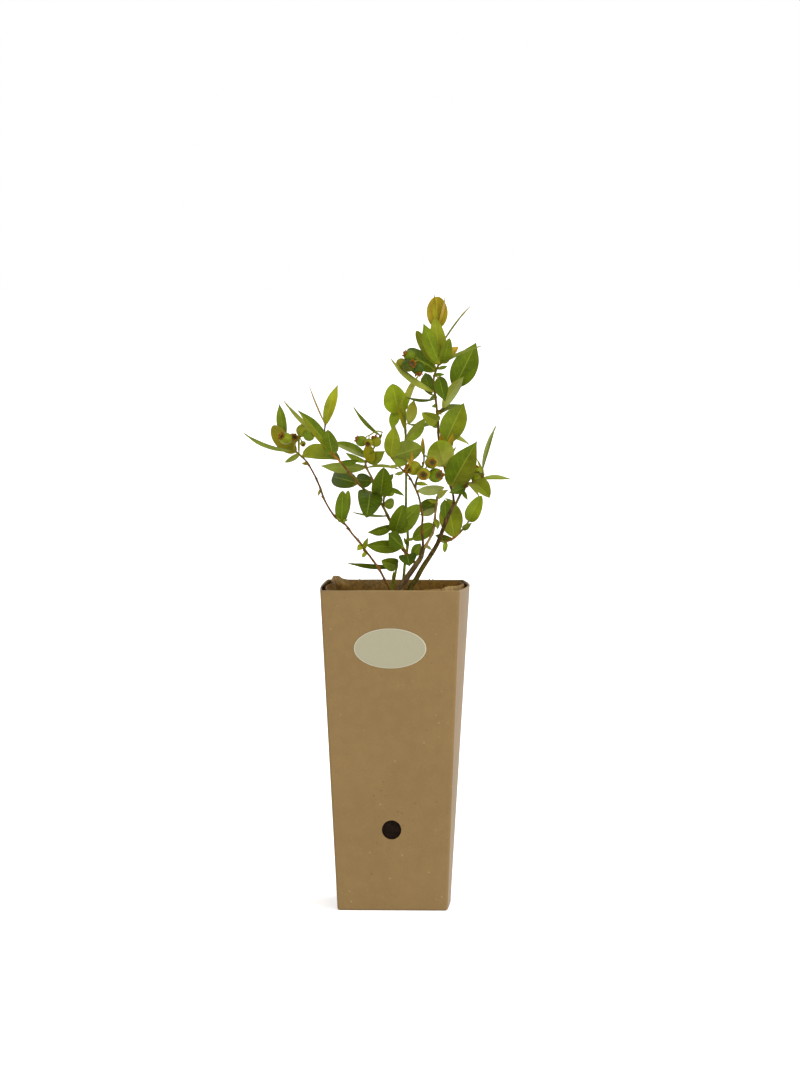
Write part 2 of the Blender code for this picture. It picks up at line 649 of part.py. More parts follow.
def socket(stem):
    """A plain round hole along a cane's foot, a little wider and deeper than the cane."""
    foot, next_point = (on_stem(point) for point in stem.points[:2])
    axis = (next_point - foot).normalized()
    radius = stem.radii[0] * MM + SOCKET_GAP
    return tube([foot - axis * SOCKET_GAP, next_point + axis * SOCKET_DEPTH], [radius, radius], 10)


def tube(points, radii, sides):
    """A closed tube through points, its rings turned as little as possible from one to the next."""
    rings = []
    side = None
    for index, point in enumerate(points):
        before = points[max(index - 1, 0)]
        after = points[min(index + 1, len(points) - 1)]
        axis = (after - before).normalized()
        if side is None:
            side = axis.orthogonal().normalized()
        side = (side - axis * side.dot(axis)).normalized()
        other = axis.cross(side)
        ring = []
        for number in range(sides):
            angle = 2 * math.pi * number / sides
            ring.append(point + (side * math.cos(angle) + other * math.sin(angle)) * radii[index])
        rings.append(ring)
    return loft(rings)


def on_stem(point):
    """A stem's point: the shoots are drawn apart in depth, so that the bush is as round as it is wide."""
    x, z, depth = point
    return seen(x, z, depth * SPREAD)


def stem_shape(stem, points=None):
    points = points or [on_stem(point) for point in stem.points]
    start, end = stem.radii
    last = len(points) - 1
    radii = [(start + (end - start) * index / last) * MM for index in range(len(points))]
    return tube(points, radii, STEM_SIDES)


def nearest_on_stems(stems, place):
    """The stem point (x, z, depth) that is seen nearest to a place (x, z)."""
    best, best_distance = None, math.inf
    flat = Vector((place[0], place[1], 0))
    for stem in stems:
        for start, end in zip(stem.points, stem.points[1:]):
            low, high = Vector((start[0], start[1], 0)), Vector((end[0], end[1], 0))
            along = min(max(intersect_point_line(flat, low, high)[1], 0.0), 1.0)
            distance = (low.lerp(high, along) - flat).length
            if distance < best_distance:
                best = Vector(start).lerp(Vector(end), along)
                best_distance = distance
    return best, best_distance * MM


def half_width(along, width):
    """Half the blade's width at a share of its length: a full ellipse, widest just before the middle."""
    full = math.sin(math.pi * along ** 0.9) ** 0.68 if 0 < along < 1 else 0.0
    neck = BASE_HALF_WIDTH + (TIP_HALF_WIDTH - BASE_HALF_WIDTH) * along
    return max(full * width / 2, neck)


def blade_shape(base, tip, width, turn, arch, fold):
    """A folded, arched blade of even thickness, each face split into the same triangles as the other."""
    axis = (tip - base).normalized()
    length = (tip - base).length
    to_eye = (EYE - (base + tip) / 2).normalized()
    side = axis.cross(to_eye).normalized()
    side = Matrix.Rotation(math.radians(-turn), 3, axis) @ side
    upper = side.cross(axis)
    lift = math.tan(math.radians(fold))
    stations = MIDDLE_STATIONS
    if length < SHORT_LEAF:
        stations = SHORT_STATIONS
    elif length > LONG_LEAF:
        stations = LONG_STATIONS
    points = []
    for along in stations:
        centre = base.lerp(tip, along) + upper * arch * length * 4 * along * (1 - along)
        half = half_width(along, width)
        edge = math.cos(math.radians(fold)) * half
        row = [centre + side * x + upper * abs(x) * lift for x in (-edge, 0, edge)]
        points += [point + upper * BLADE / 2 for point in row] + [point - upper * BLADE / 2 for point in row]
    faces = [(0, 1, 4, 3), (1, 2, 5, 4)]
    for index in range(len(stations) - 1):
        near, far = index * 6, index * 6 + 6
        for left in (0, 1):
            for face in (0, 3):
                a, b = near + face + left, near + face + left + 1
                c, d = far + face + left + 1, far + face + left
                faces += [(a, b, c), (a, c, d)] if left == 0 else [(a, b, d), (b, c, d)]
        faces.append((near, near + 3, far + 3, far))
        faces.append((near + 2, far + 2, far + 5, near + 5))
    last = (len(stations) - 1) * 6
    faces += [(last, last + 1, last + 4, last + 3), (last + 1, last + 2, last + 5, last + 4)]
    return points, faces


def leaf_shapes(item, stems):
    """The blade, rooted in its stem, and its stalk where it stands off."""
    root, distance = nearest_on_stems(stems, item.base)
    shift = root.z * (SPREAD - 1)
    rooted = item.depth is None and distance < ON_STEM
    depth = root.z if item.depth is None else item.depth
    start = on_stem(root) if rooted else seen(item.base[0], item.base[1], depth + shift)
    x, z, tip_depth = item.tip
    tip = seen(x, z, tip_depth + shift)
    blade = blade_shape(start, tip, item.width * MM, item.turn, item.arch, item.fold)
    if rooted:
        return [blade]
    reach = start + (tip - start).normalized() * MM
    return [blade, tube([on_stem(root), reach], [STALK_RADIUS] * 2, 4)]


def shoot_shapes(name):
    shapes = [stem_shape(stem) for stem in STEMS[name]]
    for item in LEAVES.get(name, []):
        shapes += leaf_shapes(item, STEMS[name])
    return shapes


def berry_shape(centre, radius):
    """A slightly flattened ball."""
    work = bmesh.new()
    bmesh.ops.create_icosphere(work, subdivisions=2, radius=radius)
    bmesh.ops.scale(work, vec=(1, 1, 0.94), verts=work.verts)
    work.verts.ensure_lookup_table()
    points = [centre + vertex.co for vertex in work.verts]
    faces = [tuple(vertex.index for vertex in face.verts) for face in work.faces]
    work.free()
    return points, faces


def crown_shape(centre, radius, way):
    """The calyx: a short flared cup with a corner for each lobe, sunk into the berry's far end."""
    side = way.orthogonal().normalized()
    other = way.cross(side)
    low, high = [], []
    for number in range(CROWN_LOBES):
        angle = 2 * math.pi * number / CROWN_LOBES
        spoke = side * math.cos(angle) + other * math.sin(angle)
        low.append(centre + way * radius * 0.78 + spoke * radius * 0.4)
        high.append(centre + way * radius * 1.3 + spoke * radius * 0.68)
    points, faces = loft([low, high], top=False)
    hollow = len(points)
    points.append(centre + way * radius * 1.05)
    top = len(low)
    for number in range(len(low)):
        faces.append((top + number, top + (number + 1) % len(low), hollow))
    return points, faces


def bunch_shapes(name):
    """A bunch's stem and berries, at the depth of the shoot that it hangs on."""
    parent, stem, berries = BUNCHES[name]
    start_x, start_z, _ = stem.points[0]
    shift = nearest_on_stems(STEMS[parent], (start_x, start_z))[0].z * (SPREAD - 1)
    points = [seen(x, z, depth + shift) for x, z, depth in stem.points]
    shapes = [stem_shape(stem, points)]
    for berry in berries:
        x, z, depth = berry.centre
        centre = seen(x, z, depth + shift)
        radius = berry.radius * MM
        x, z, depth = berry.crown
        way = Vector((x, depth, z)).normalized()
        root = points[berry.root]
        shapes.append(berry_shape(centre, radius))
        shapes.append(crown_shape(centre, radius, way))
        shapes.append(tube([root, root.lerp(centre, 0.9)], [STALK_RADIUS] * 2, 4))
    return shapes


def main():
    clear_scene()
    make_carton()
    make_label()
    make_liner()
    make_soil()
    for name in STEMS:
        union(name, shoot_shapes(name), material(name + "_colour", COLOURS[name]))
    for name in BUNCHES:
        union(name, bunch_shapes(name), material(name + "_colour", BERRY_GREEN, 0.45))


main()
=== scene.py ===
import math
import random
from collections import namedtuple

import bmesh
import bpy
from mathutils import Matrix, Vector, noise
from mathutils.geometry import intersect_point_line


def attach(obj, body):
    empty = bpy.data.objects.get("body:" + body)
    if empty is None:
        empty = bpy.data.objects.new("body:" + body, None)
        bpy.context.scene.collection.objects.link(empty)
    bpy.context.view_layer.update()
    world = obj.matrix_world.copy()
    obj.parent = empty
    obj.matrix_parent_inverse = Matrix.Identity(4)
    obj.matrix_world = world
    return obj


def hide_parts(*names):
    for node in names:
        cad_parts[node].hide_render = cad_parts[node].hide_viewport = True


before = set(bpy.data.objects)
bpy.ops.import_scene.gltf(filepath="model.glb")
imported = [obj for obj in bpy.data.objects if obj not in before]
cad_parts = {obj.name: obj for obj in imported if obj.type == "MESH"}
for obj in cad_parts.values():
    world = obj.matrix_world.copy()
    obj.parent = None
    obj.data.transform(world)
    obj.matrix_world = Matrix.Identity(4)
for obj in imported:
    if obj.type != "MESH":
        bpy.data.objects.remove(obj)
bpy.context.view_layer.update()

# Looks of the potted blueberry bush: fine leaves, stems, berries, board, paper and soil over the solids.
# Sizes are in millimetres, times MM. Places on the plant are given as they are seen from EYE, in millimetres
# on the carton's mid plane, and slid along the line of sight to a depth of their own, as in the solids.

MM = 0.001
EYE = Vector((176.8, -4485.7, 622.5)) * MM
SPREAD = 1.8
ON_STEM = 2.2 * MM

# Carton; RIM is its height
RIM = 266 * MM
BASE_HALF = 45.5 * MM
TOP_HALF = 57.5 * MM
TOP_LEAN = -1.6 * MM
BOARD = 1.6 * MM
CORNER_RADIUS = 2.2 * MM
LEAST_RADIUS = 0.3 * MM
CREASE_RIGHT = (1.0 * MM, 6.6 * MM)
CREASE_LEFT = (0.4 * MM, 1.8 * MM)
CORNER_STEPS = 8
WALL_STEPS = 14
HEIGHT_STEPS = 14
FOOT_BEVEL = 1.0 * MM
EDGE_START = 1.6 * MM
EDGE_ROUND = 0.35 * MM
GAP = 0.3 * MM
HOLE_RADIUS = 8 * MM
HOLE_SIDES = 64
DRILL_DEPTH = 20 * MM
HOLE_X = -0.6 * MM
HOLE_Z = 67.2 * MM
FLAP_START = (-55.6, 16.0, 0.0)
FLAP_END = (-51.6, 46.0, 0.0)
FLAP_STEPS = 12
FLAP_DROPS = (16.0 * MM, 6.0 * MM, 0.4 * MM)
FLAP_THICKNESS = 0.8 * MM
FLAP_WAVE = 0.5 * MM
FLAP_TEAR = 1.6 * MM
KRAFT = (0.141, 0.082, 0.026)
KRAFT_EDGE = (0.190, 0.120, 0.045)
# The inside tone is the board's own tone darkened by painted shade, for the carton's inner walls and the
# foot of the glue flap.
KRAFT_INSIDE_SHADED = (0.060, 0.032, 0.006)
TORN_GREY = (0.048, 0.032, 0.015)

# Label; each of its rings has a share of its size and a height over the wall in millimetres
LABEL_WIDTH = 59.4 * MM
LABEL_HEIGHT = 33.0 * MM
LABEL_X = -1.5 * MM
LABEL_Z = 217.9 * MM
LABEL_SIDES = 96
LABEL_RINGS = ((1.0, 0.05), (1.0, 0.3), (0.994, 0.42), (0.97, 0.45), (0.6, 0.45), (0.2, 0.45))
LABEL_PAPER = (0.252, 0.234, 0.157)

# Paper liner and soil
LINER_FOOT = 202.7 * MM
LINER_RIM = 265.2 * MM
LINER_LEVELS = 22
LINER_TEAR = 0.8 * MM
CRUMPLE_DEPTH = 0.9 * MM
PAPER_THICKNESS = 0.8 * MM
# The liner's paper: its tone darkened by painted shade, and lightened by painted light where its folds rise
# at the rim.
PAPER_SHADED = (0.128, 0.062, 0.005)
PAPER_LIT = (0.290, 0.190, 0.075)
SOIL_TOP = 238 * MM
SOIL_SHOULDER = 202 * MM
CRUMB = 1.6 * MM
SOIL_RINGS = 24
SOIL_SEED = 11
LINER_ROOM = 4.2 * MM
SOIL_MARGIN = 7 * MM
CLODS = 260
CLOD_REACH = 44 * MM
CLOD_ROWS = 4
CLOD_SPOKES = 7
PEAT = (0.006, 0.0025, 0.001)
RIM_CRUMBS = (
    (-31.5, 56.6, 0.5), (-12.0, 56.8, 0.4), (27.0, 56.6, 0.5),
    (30.0, 56.8, 0.4), (12.0, -56.6, 0.4), (40.5, -56.7, 0.4),
)

# Camera and floor
TARGET = Vector((4.5, 0.0, 308.6)) * MM
FOCAL_PIXELS = 5425.0
PHOTO_HEIGHT = 1067.0
SENSOR = 36.0
FLOOR_SIZE = 40

# Fineness of the plant
PATH_STEPS = 6
TUBE_SIDES = 12
BLADE_STEP = 1.6 * MM
BLADE_THICKNESS = 0.32 * MM
PETIOLE = 0.5 * MM
TIP_THICK = 0.12 * MM
SHOULDER = 0.66
MARGIN_WAVE = 0.03
RIB_WIDTH = 0.45 * MM
RIB_DEPTH = 0.22 * MM
NODE_SWELL = 0.34
BARK_ROUGH = 0.08
BARK_SCALE = 700
BUD_WIDTHS = (0.55, 0.62, 0.6, 0.45, 0.25, 0.05)
BERRY_ROWS = 18
BERRY_SPOKES = 28
CROWN_LOBES = 5
LOBE_STEPS = 6

# A leaf goes from base (x, z) to tip (x, z, depth). Turned 0 it shows its upper face, turned 180 its lower.
# Its tone is of the side that is seen: "a>b" runs from base to tip, "a|b" from its left half to its right.
Leaf = namedtuple(
    "Leaf", "base tip width tone turn arch fold depth blunt", defaults=(0, 0.07, 18, None, False))
Stem = namedtuple("Stem", "points radii tones")
Berry = namedtuple("Berry", "centre radius crown root tone")
Shape = namedtuple("Shape", "points faces colours places")


def oval(*values, **more):
    """A leaf with a blunt tip."""
    return Leaf(*values, **more, blunt=True)


# Colours of leaves, bark and berries. A leaf's tone also holds in part how lit or shaded that leaf is:
# painted light in the palest, painted shade in the darkest.
TONES = dict(
    black=(0.035, 0.061, 0.001), dark=(0.044, 0.072, 0.001), deep=(0.058, 0.086, 0.002),
    green=(0.070, 0.106, 0.002), mid=(0.094, 0.128, 0.003), bronze=(0.098, 0.110, 0.002),
    fresh=(0.124, 0.170, 0.008), bright=(0.154, 0.198, 0.010), lime=(0.166, 0.211, 0.005),
    olive=(0.133, 0.154, 0.005), moss=(0.174, 0.192, 0.008), grey=(0.134, 0.162, 0.018),
    sage=(0.152, 0.184, 0.026), pale=(0.186, 0.202, 0.026), silver=(0.200, 0.222, 0.062),
    straw=(0.300, 0.305, 0.042), yellow=(0.220, 0.210, 0.006), gold=(0.192, 0.170, 0.002),
    ochre=(0.215, 0.155, 0.005), brown=(0.164, 0.144, 0.003), orange=(0.304, 0.172, 0.013),
    rose=(0.256, 0.160, 0.060), bark_grey=(0.104, 0.068, 0.024), bark_purple=(0.076, 0.044, 0.018),
    bark_olive=(0.068, 0.054, 0.005), bark_dark=(0.032, 0.018, 0.002), bark_red=(0.105, 0.042, 0.005),
    bark_brown=(0.056, 0.029, 0.003), bark_tan=(0.176, 0.120, 0.036), stem_lime=(0.132, 0.164, 0.006),
    stem_green=(0.084, 0.104, 0.004), stem_yellow=(0.172, 0.156, 0.010), berry_green=(0.092, 0.130, 0.002),
    # The darkest berry tone is the berries' green darkened by painted shade.
    berry_yellow=(0.150, 0.148, 0.002), berry_lime=(0.135, 0.160, 0.002), berry_shaded=(0.030, 0.056, 0.001),
    berry_brown=(0.144, 0.102, 0.005), crown_red=(0.150, 0.022, 0.004), crown_orange=(0.230, 0.088, 0.006)
)

# Each shoot's stems as points (x, z, depth), the radius at foot and tip, and tones from foot to tip.
STEMS = {}
STEMS["cane_brown"] = [
    Stem([(-1, 226, -2), (0, 240, -2), (4.6, 263, -4), (9, 270, -5), (14.5, 278, -6), (19.5, 285, -7),
          (22.2, 290, -7.6), (23.6, 296.5, -8.2)], (2.7, 2.0),
          "bark_purple bark_grey bark_purple bark_grey bark_dark"),
]
STEMS["cane_green"] = [
    Stem([(6, 226, 8), (8, 242, 7), (13, 263, 5), (17.5, 270, 4), (23, 280, 3), (29.5, 290, 2),
          (35.5, 300, 0), (39.3, 310, -2), (43, 320, -4), (47.3, 329, -6), (49.3, 333.2, -6.6)], (2.5, 1.4),
          "stem_green bark_olive bark_olive bark_brown bark_dark bark_purple"),
]
STEMS["shoot_left"] = [
    Stem([(6, 226, -14), (3, 240, -14), (-4, 262, -13), (-8, 270, -13), (-13, 279, -12), (-20, 289, -11),
          (-25, 295, -10), (-28, 300, -9), (-35, 308, -7), (-41, 316, -4), (-50, 323, -1), (-58, 336, 5),
          (-62, 347, 9), (-67, 358, 13), (-73, 368, 17), (-79, 374, 19), (-84, 378, 20)], (1.05, 0.7),
          "bark_red bark_brown bark_red bark_brown bark_red bark_red bark_brown bark_red stem_yellow"),
]
STEMS["shoot_mid_left"] = [
    Stem([(17.1, 284.1, -5.3), (11, 290, 2), (4, 301, 5), (0, 310, 7), (-2.5, 316, 9), (-8, 328, 12),
          (-14, 338, 13), (-17, 341, 13), (-24, 344.5, 11), (-30, 350, 7), (-36, 357, 2), (-40, 362, -2),
          (-45, 368, -7), (-50, 373, -10), (-54, 378, -12), (-57, 386, -13), (-58, 393, -14),
          (-57.5, 399, -14)], (1.3, 0.65),
          "bark_brown bark_red bark_brown stem_lime bark_olive bark_red crown_orange bark_brown bark_dark"),
    Stem([(-16.5, 340.5, 13), (-17, 347, 14), (-19, 355, 14), (-24, 365, 14), (-22, 372, 14),
          (-17, 380, 12), (-12, 388, 10), (-10.5, 391.5, 9)], (1.0, 0.7), "bark_red bark_tan stem_yellow"),
    Stem([(-9, 330, 12.3), (-9, 336, 13), (-8, 343, 14), (-8, 348, 15)], (0.9, 0.7), "bark_red stem_green"),
]
STEMS["shoot_upright"] = [
    Stem([(2, 226, 15), (3, 240, 15), (6, 262, 13), (7.5, 272, 12), (8.5, 283, 11), (10.5, 296, 10),
          (11, 306, 9), (10.3, 315, 8.5), (9.5, 325, 8), (9.5, 340, 8), (9.6, 355, 8), (9.4, 370, 8),
          (9.2, 386, 8), (8.8, 398, 8), (8, 410, 8)], (1.3, 0.9),
          "stem_lime stem_lime stem_green stem_lime"),
]
STEMS["sucker"] = [
    Stem([(-8, 226, 7), (-6, 240, 7), (-2.5, 262, 6), (-0.5, 270, 5), (1.2, 278, 5), (2.3, 285, 6)],
          (1.7, 0.8), "stem_yellow stem_lime stem_green"),
]
STEMS["shoot_dark"] = [
    Stem([(23.5, 296.9, -9.3), (23.4, 304, -11), (22.5, 312, -12), (23.2, 322, -14), (21.5, 333, -16),
          (19.5, 341, -18), (17, 346.5, -19), (12, 356, -18), (6, 362, -17), (1, 367, -16), (-3, 372, -15)],
          (1.1, 0.6), "bark_dark bark_brown bark_brown bark_olive stem_green"),
    Stem([(17.5, 345.5, -19), (18, 352, -17), (21, 359, -12), (24, 367, -10), (24.5, 374, -10)], (0.9, 0.7),
          "bark_olive stem_green"),
]
STEMS["shoot_pale"] = [
    Stem([(24.9, 296.9, -7.1), (30, 306, -2.5), (32.5, 312, 2), (33.5, 322, 6), (34.5, 332, 8),
          (35.5, 339.5, 10)], (1.15, 0.8), "bark_tan bark_tan bark_grey bark_tan rose"),
]
STEMS["leader"] = [
    Stem([(49.1, 334.4, -6.4), (48.5, 341, -5.5), (46.5, 348, -4), (43, 358, 0), (39, 374, 3),
          (36.5, 387, 5), (36, 400, 6), (35, 412, 6), (33.5, 425, 6), (32.5, 436, 5), (34, 443, 5),
          (36.5, 449, 4), (38, 456, 3), (37.5, 466, 3), (36, 476, 3), (35, 482, 2)], (1.05, 0.6),
          "bark_dark bark_red bark_brown bark_olive bark_olive stem_green"),
    Stem([(35.2, 410, 6), (40, 412, 8), (44, 418, 10), (48, 427, 12), (50, 431, 12)], (0.9, 0.6),
          "bark_brown bark_olive"),
]
STEMS["shoot_right"] = [
    Stem([(50.7, 333.1, -7.4), (55.5, 343, -10.5), (61, 350, -14), (67, 351, -14.5), (72.8, 354.5, -15.5),
          (73.3, 358, -16), (73, 362.5, -16.5)], (1.1, 0.65), "bark_olive bark_brown stem_green"),
]
STEMS["shoot_low_right"] = [
    Stem([(38.9, 302.3, 0.2), (42, 301.8, 3), (50, 305.5, 6), (56, 311.5, 6), (61.5, 319, 4)], (0.9, 0.65),
          "stem_green bark_olive crown_orange bark_olive stem_lime"),
]

LEAVES = {}
LEAVES["shoot_left"] = [
    oval((-42.8, 319.5), (-43, 344, -10), 12, "green", 8, arch=0.03),
    oval((-42.2, 321), (-38.4, 344.4, 2), 7.5, "mid", -12, arch=0.03),
    Leaf((-25.2, 295.4), (-22, 305, -14), 4.5, "olive", 20),
    Leaf((-27.2, 298.8), (-31, 294.5, -14), 5.5, "moss"),
    Leaf((-23.5, 293.3), (-27, 288.5, -12), 4, "moss"),
    Leaf((-61.5, 345.5), (-63.5, 339.5, 6), 2.4, "brown"),
    Leaf((-72, 366.5), (-77, 366.6, 14), 3, "ochre"),
    Leaf((-83, 377.2), (-125.5, 391.8, 4), 8, "grey|mid", 60),
    Leaf((-91.5, 385), (-95.5, 416, 41.4), 9, "mid", 8, arch=0.02, depth=27),
    oval((-81.5, 376), (-101.5, 397.5, 34), 16, "brown", 20),
    oval((-79.3, 374.2), (-91, 367.5, 12), 5, "grey", 10),
    oval((-77, 372), (-45, 369.6, 26), 24, "moss>deep", 50, arch=0.03, fold=34),
    Leaf((-78.2, 375.5), (-79.2, 396.5, 6), 2.2, "brown", 20, arch=0.02),
    Leaf((-43, 318), (-38.5, 320, -12), 3, "lime", 30),
    Leaf((-43.5, 318.6), (-47.5, 321.5, -12), 3, "lime", 30),
]
LEAVES["shoot_mid_left"] = [
    Leaf((-54, 377), (-80.5, 411, -42), 11.5, "bronze|deep", -28, arch=0.05),
    oval((-51.5, 375), (-55.5, 394.5, -24), 14, "green", 6),
    Leaf((-57, 386), (-92, 418.5, 8), 6.4, "pale", 50, arch=0.03),
    Leaf((-59, 400), (-70.5, 430, -22), 1.7, "rose", 50, arch=0.01),
    Leaf((-57.4, 398.2), (-47, 432, -8), 10, "moss|yellow", 14),
    Leaf((-22, 371), (-53, 384, 4), 11, "silver|mid", -40),
    Leaf((-23, 368), (-40.5, 375.5, 22), 6, "bright", 30),
    Leaf((-45, 368), (-29.5, 369.5, -3), 7, "dark", -40),
    Leaf((-23.8, 363.5), (-61.5, 364.7, 4), 10, "sage", 160, fold=10),
    oval((-30, 350.5), (-51.5, 355.5, 40), 17, "black", -6),
    oval((-18.3, 352.5), (-31.5, 353.5, 27), 13, "dark", 10),
    oval((-20.5, 343.2), (-23.4, 321.8, -28), 22.5, "black", 8),
    Leaf((-5.5, 323.5), (-34.5, 326, 26), 4.4, "sage", 58, arch=0.02),
    oval((-11.8, 339.5), (-9, 363.3, -6), 18.5, "green", -6),
    oval((-9, 333), (-0.5, 334.5, 22), 10, "mid", -15),
    Leaf((-8.3, 340.5), (0.5, 345, 22), 7, "lime", -10),
    Leaf((-8, 346.2), (8, 340, 15), 5, "green", 30),
    Leaf((-8, 347.5), (-1, 358, 24), 7, "mid", 30),
    Leaf((-23, 368.2), (-8, 377, 3), 12, "olive", -10),
    Leaf((-23, 363.2), (4, 362, 18), 5, "pale", 56),
    Leaf((-19, 367), (-22.5, 384.5, 6), 10.5, "gold", 10, depth=9),
    Leaf((-11, 389.5), (-34.3, 414, 14), 5.4, "mid|grey", 50, arch=0.05),
    oval((1.6, 309.6), (7.4, 332.5, -9), 14.5, "green", 6),
    oval((1.4, 311), (20.6, 332.6, 0), 17.5, "fresh", -8),
    Leaf((-2, 314.6), (-22.5, 309.5, -4), 9.5, "mid", 30),
    Leaf((6.5, 297.5), (-24.5, 299, -8), 12, "mid", 18, fold=12, arch=0.03),
    Leaf((7.5, 297), (-5, 309, -16), 15, "dark", 150, fold=12, arch=0.03, depth=-4),
    oval((11, 291.5), (12.4, 281.8, -12), 16, "black", 4),
    Leaf((14.3, 289.5), (21.5, 300.5, 12), 9.5, "green|mid", -10, depth=7),
]
LEAVES["shoot_upright"] = [
    oval((4, 408.5), (-1.8, 432.8, 0), 21.5, "lime", 8, depth=7),
    Leaf((3, 413), (-2.5, 395, 9), 9.5, "lime", -10, depth=12),
    Leaf((8.1, 409), (20, 440, 18), 8, "straw", 40),
    Leaf((11.5, 399.5), (16, 419.5, 22), 9.5, "straw>gold", -16, fold=6, depth=12),
    Leaf((8.8, 401), (7, 422, -8), 7.5, "moss|olive", 28),
    Leaf((9, 394), (2, 415.5, -4), 3, "brown"),
    Leaf((9.2, 385), (25.5, 405, 6), 12, "pale|bright", -18, fold=28),
    Leaf((11, 299), (7.5, 305.5, 2), 3, "mid"),
    Leaf((11, 303), (16, 304.5, 14), 3, "pale"),
]
LEAVES["sucker"] = [
    Leaf((1.3, 281), (-39, 283.8, 14), 6.4, "green|grey", 46, arch=0.02),
    oval((1.6, 282), (-10.8, 286, -12), 12.5, "mid", 8),
    Leaf((-0.8, 268), (-0.6, 277.5, 1), 3, "brown"),
]
LEAVES["shoot_dark"] = [
    oval((-4, 371), (22.4, 380.3, -18), 19, "grey", 168, fold=8),
    Leaf((-5, 371.5), (0.2, 399, -28), 14, "olive", 4),
    Leaf((-1, 369), (10.5, 366.5, -20), 7, "fresh", -20),
    Leaf((3.2, 365), (-5, 363.5, -12), 3.5, "pale"),
    Leaf((24.5, 373), (23.5, 389, -12), 4, "gold>orange", 20),
    Leaf((18, 350), (28, 349, -24), 4, "moss", 20),
    Leaf((8, 360.5), (0, 357.8, -14), 4, "grey", 30),
    Leaf((15, 366), (14.4, 377, -34), 2.6, "orange", 20, arch=0.03, depth=-29),
    Leaf((13.5, 364.5), (10.6, 371, -34), 2.4, "ochre>orange", -20, arch=0.03, depth=-30),
]
LEAVES["shoot_pale"] = [
    Leaf((41, 347), (17.8, 343.8, -4), 9.5, "silver", 155, fold=8, depth=7),
    Leaf((35.3, 338), (44.5, 345, -4), 6, "straw", 20),
    oval((35, 336.5), (22, 327.5, 22), 14, "green", 10),
    Leaf((34.2, 329.5), (21, 324, 9), 7, "silver", 150, fold=8),
    Leaf((34.8, 334.5), (27.5, 336.5, 2), 3, "moss"),
    Leaf((33.4, 321), (36, 312, 0), 5.5, "olive", 24),
    oval((32.9, 316), (15.3, 303.5, 7), 13, "mid", -6),
    Leaf((26.5, 298.5), (30.8, 295, -8), 3, "silver"),
]
LEAVES["cane_green"] = [
    Leaf((42.6, 319), (41.5, 337, 8), 10, "green", -6),
]
LEAVES["leader"] = [
    Leaf((46.4, 347.5), (68.2, 385.3, -34), 24.5, "green|bronze", 2),
    Leaf((40.5, 361), (51, 380.5, 2), 5.5, "pale", 40),
    Leaf((41, 380.5), (38, 391.8, -6), 6, "orange>ochre", 10),
    Leaf((44, 377), (48, 392, -4), 5.5, "yellow>orange", -14),
    oval((40, 364), (35.4, 385.5, -22), 23, "straw>lime", 176, fold=8, arch=0.02),
    Leaf((41.5, 382.5), (57.6, 417, 14), 22, "mid|olive", 8, depth=6),
    Leaf((36.9, 393), (62, 382.4, 26), 6, "pale", 40),
    Leaf((35.3, 407), (55, 415.5, 28), 7, "deep", 50),
    oval((36, 401.5), (22.8, 408.8, -14), 12, "olive", 10),
    Leaf((36, 403), (11, 399.4, 22), 6, "silver", 130),
    Leaf((40, 412), (57, 438.8, -6), 10.5, "silver|pale", 156, fold=8),
    Leaf((37, 438.8), (42, 418.4, -8), 12.5, "dark", -8),
    Leaf((30.5, 423.5), (25.4, 442, 24), 11.5, "green", 10),
    Leaf((33.4, 426), (-3.2, 453.6, -18), 8, "pale", 138),
    Leaf((33.7, 420.5), (9, 422, -4), 5, "deep", 56),
    oval((33.4, 444), (10.5, 461, 26), 15, "green", 6),
    oval((37, 449), (18, 476.8, 12), 11, "olive", 14),
    Leaf((37, 449.5), (24, 482.8, -22), 13.5, "mid", 160, fold=8, arch=0.02, depth=-2),
    oval((38.4, 455), (33.2, 486.8, -4), 13.5, "moss", -4, fold=10),
    oval((35.4, 478.5), (35, 505, 14), 18.5, "ochre", 0),
    Leaf((35, 481.8), (33.2, 506.8, 4), 4, "yellow>ochre", 30),
    Leaf((35.4, 479.5), (41.6, 504, 6), 2.8, "ochre>rose", -30),
    oval((40, 449.8), (45.4, 470.6, -12), 10.5, "mid", -6),
    Leaf((40, 452.5), (53, 463.6, 14), 8, "olive>orange", 22),
    Leaf((37.6, 463), (62.6, 497.2, 18), 2.8, "grey|rose", 52, arch=0.03),
    Leaf((49.6, 430), (67.6, 467.2, 4), 22.5, "green", -4),
    Leaf((36.3, 447.4), (71.8, 464.2, -18), 4.6, "sage", 50, arch=0.04),
    Leaf((35, 445), (43.5, 447.3, 12), 3.4, "green"),
    Leaf((33.6, 440.5), (41.5, 440.6, 0), 3.4, "green"),
    Leaf((49.4, 335), (41.5, 338, -12), 2.2, "grey", arch=0.02),
    oval((35.5, 415.5), (31, 414.2, 2), 3.6, "green", 20),
    oval((33.8, 424), (29.4, 420.4, 2), 3.4, "deep", 20),
    oval((36, 398.5), (31.6, 397.2, 2), 3.4, "deep", 20),
    oval((35.2, 409.5), (39, 407.5, 2), 2.4, "brown", 20),
]
LEAVES["shoot_right"] = [
    Leaf((73, 361.5), (84.2, 398.6, -14), 6.4, "silver|olive", 50, arch=0.03),
    Leaf((72.9, 359.5), (68, 371.5, -34), 2.4, "moss"),
    Leaf((71.5, 354.2), (96, 354, 0), 6.4, "sage|olive", 50, arch=0.04),
    oval((65.2, 350), (78.6, 338.6, -38), 17, "olive", 28, fold=28),
    Leaf((58.5, 347), (45.2, 342.3, -26), 8.5, "black", -6),
    Leaf((56.3, 344.3), (60.5, 336.5, -18), 4, "mid"),
    Leaf((60.3, 350), (70.5, 338.5, -14), 4, "pale", 50),
]
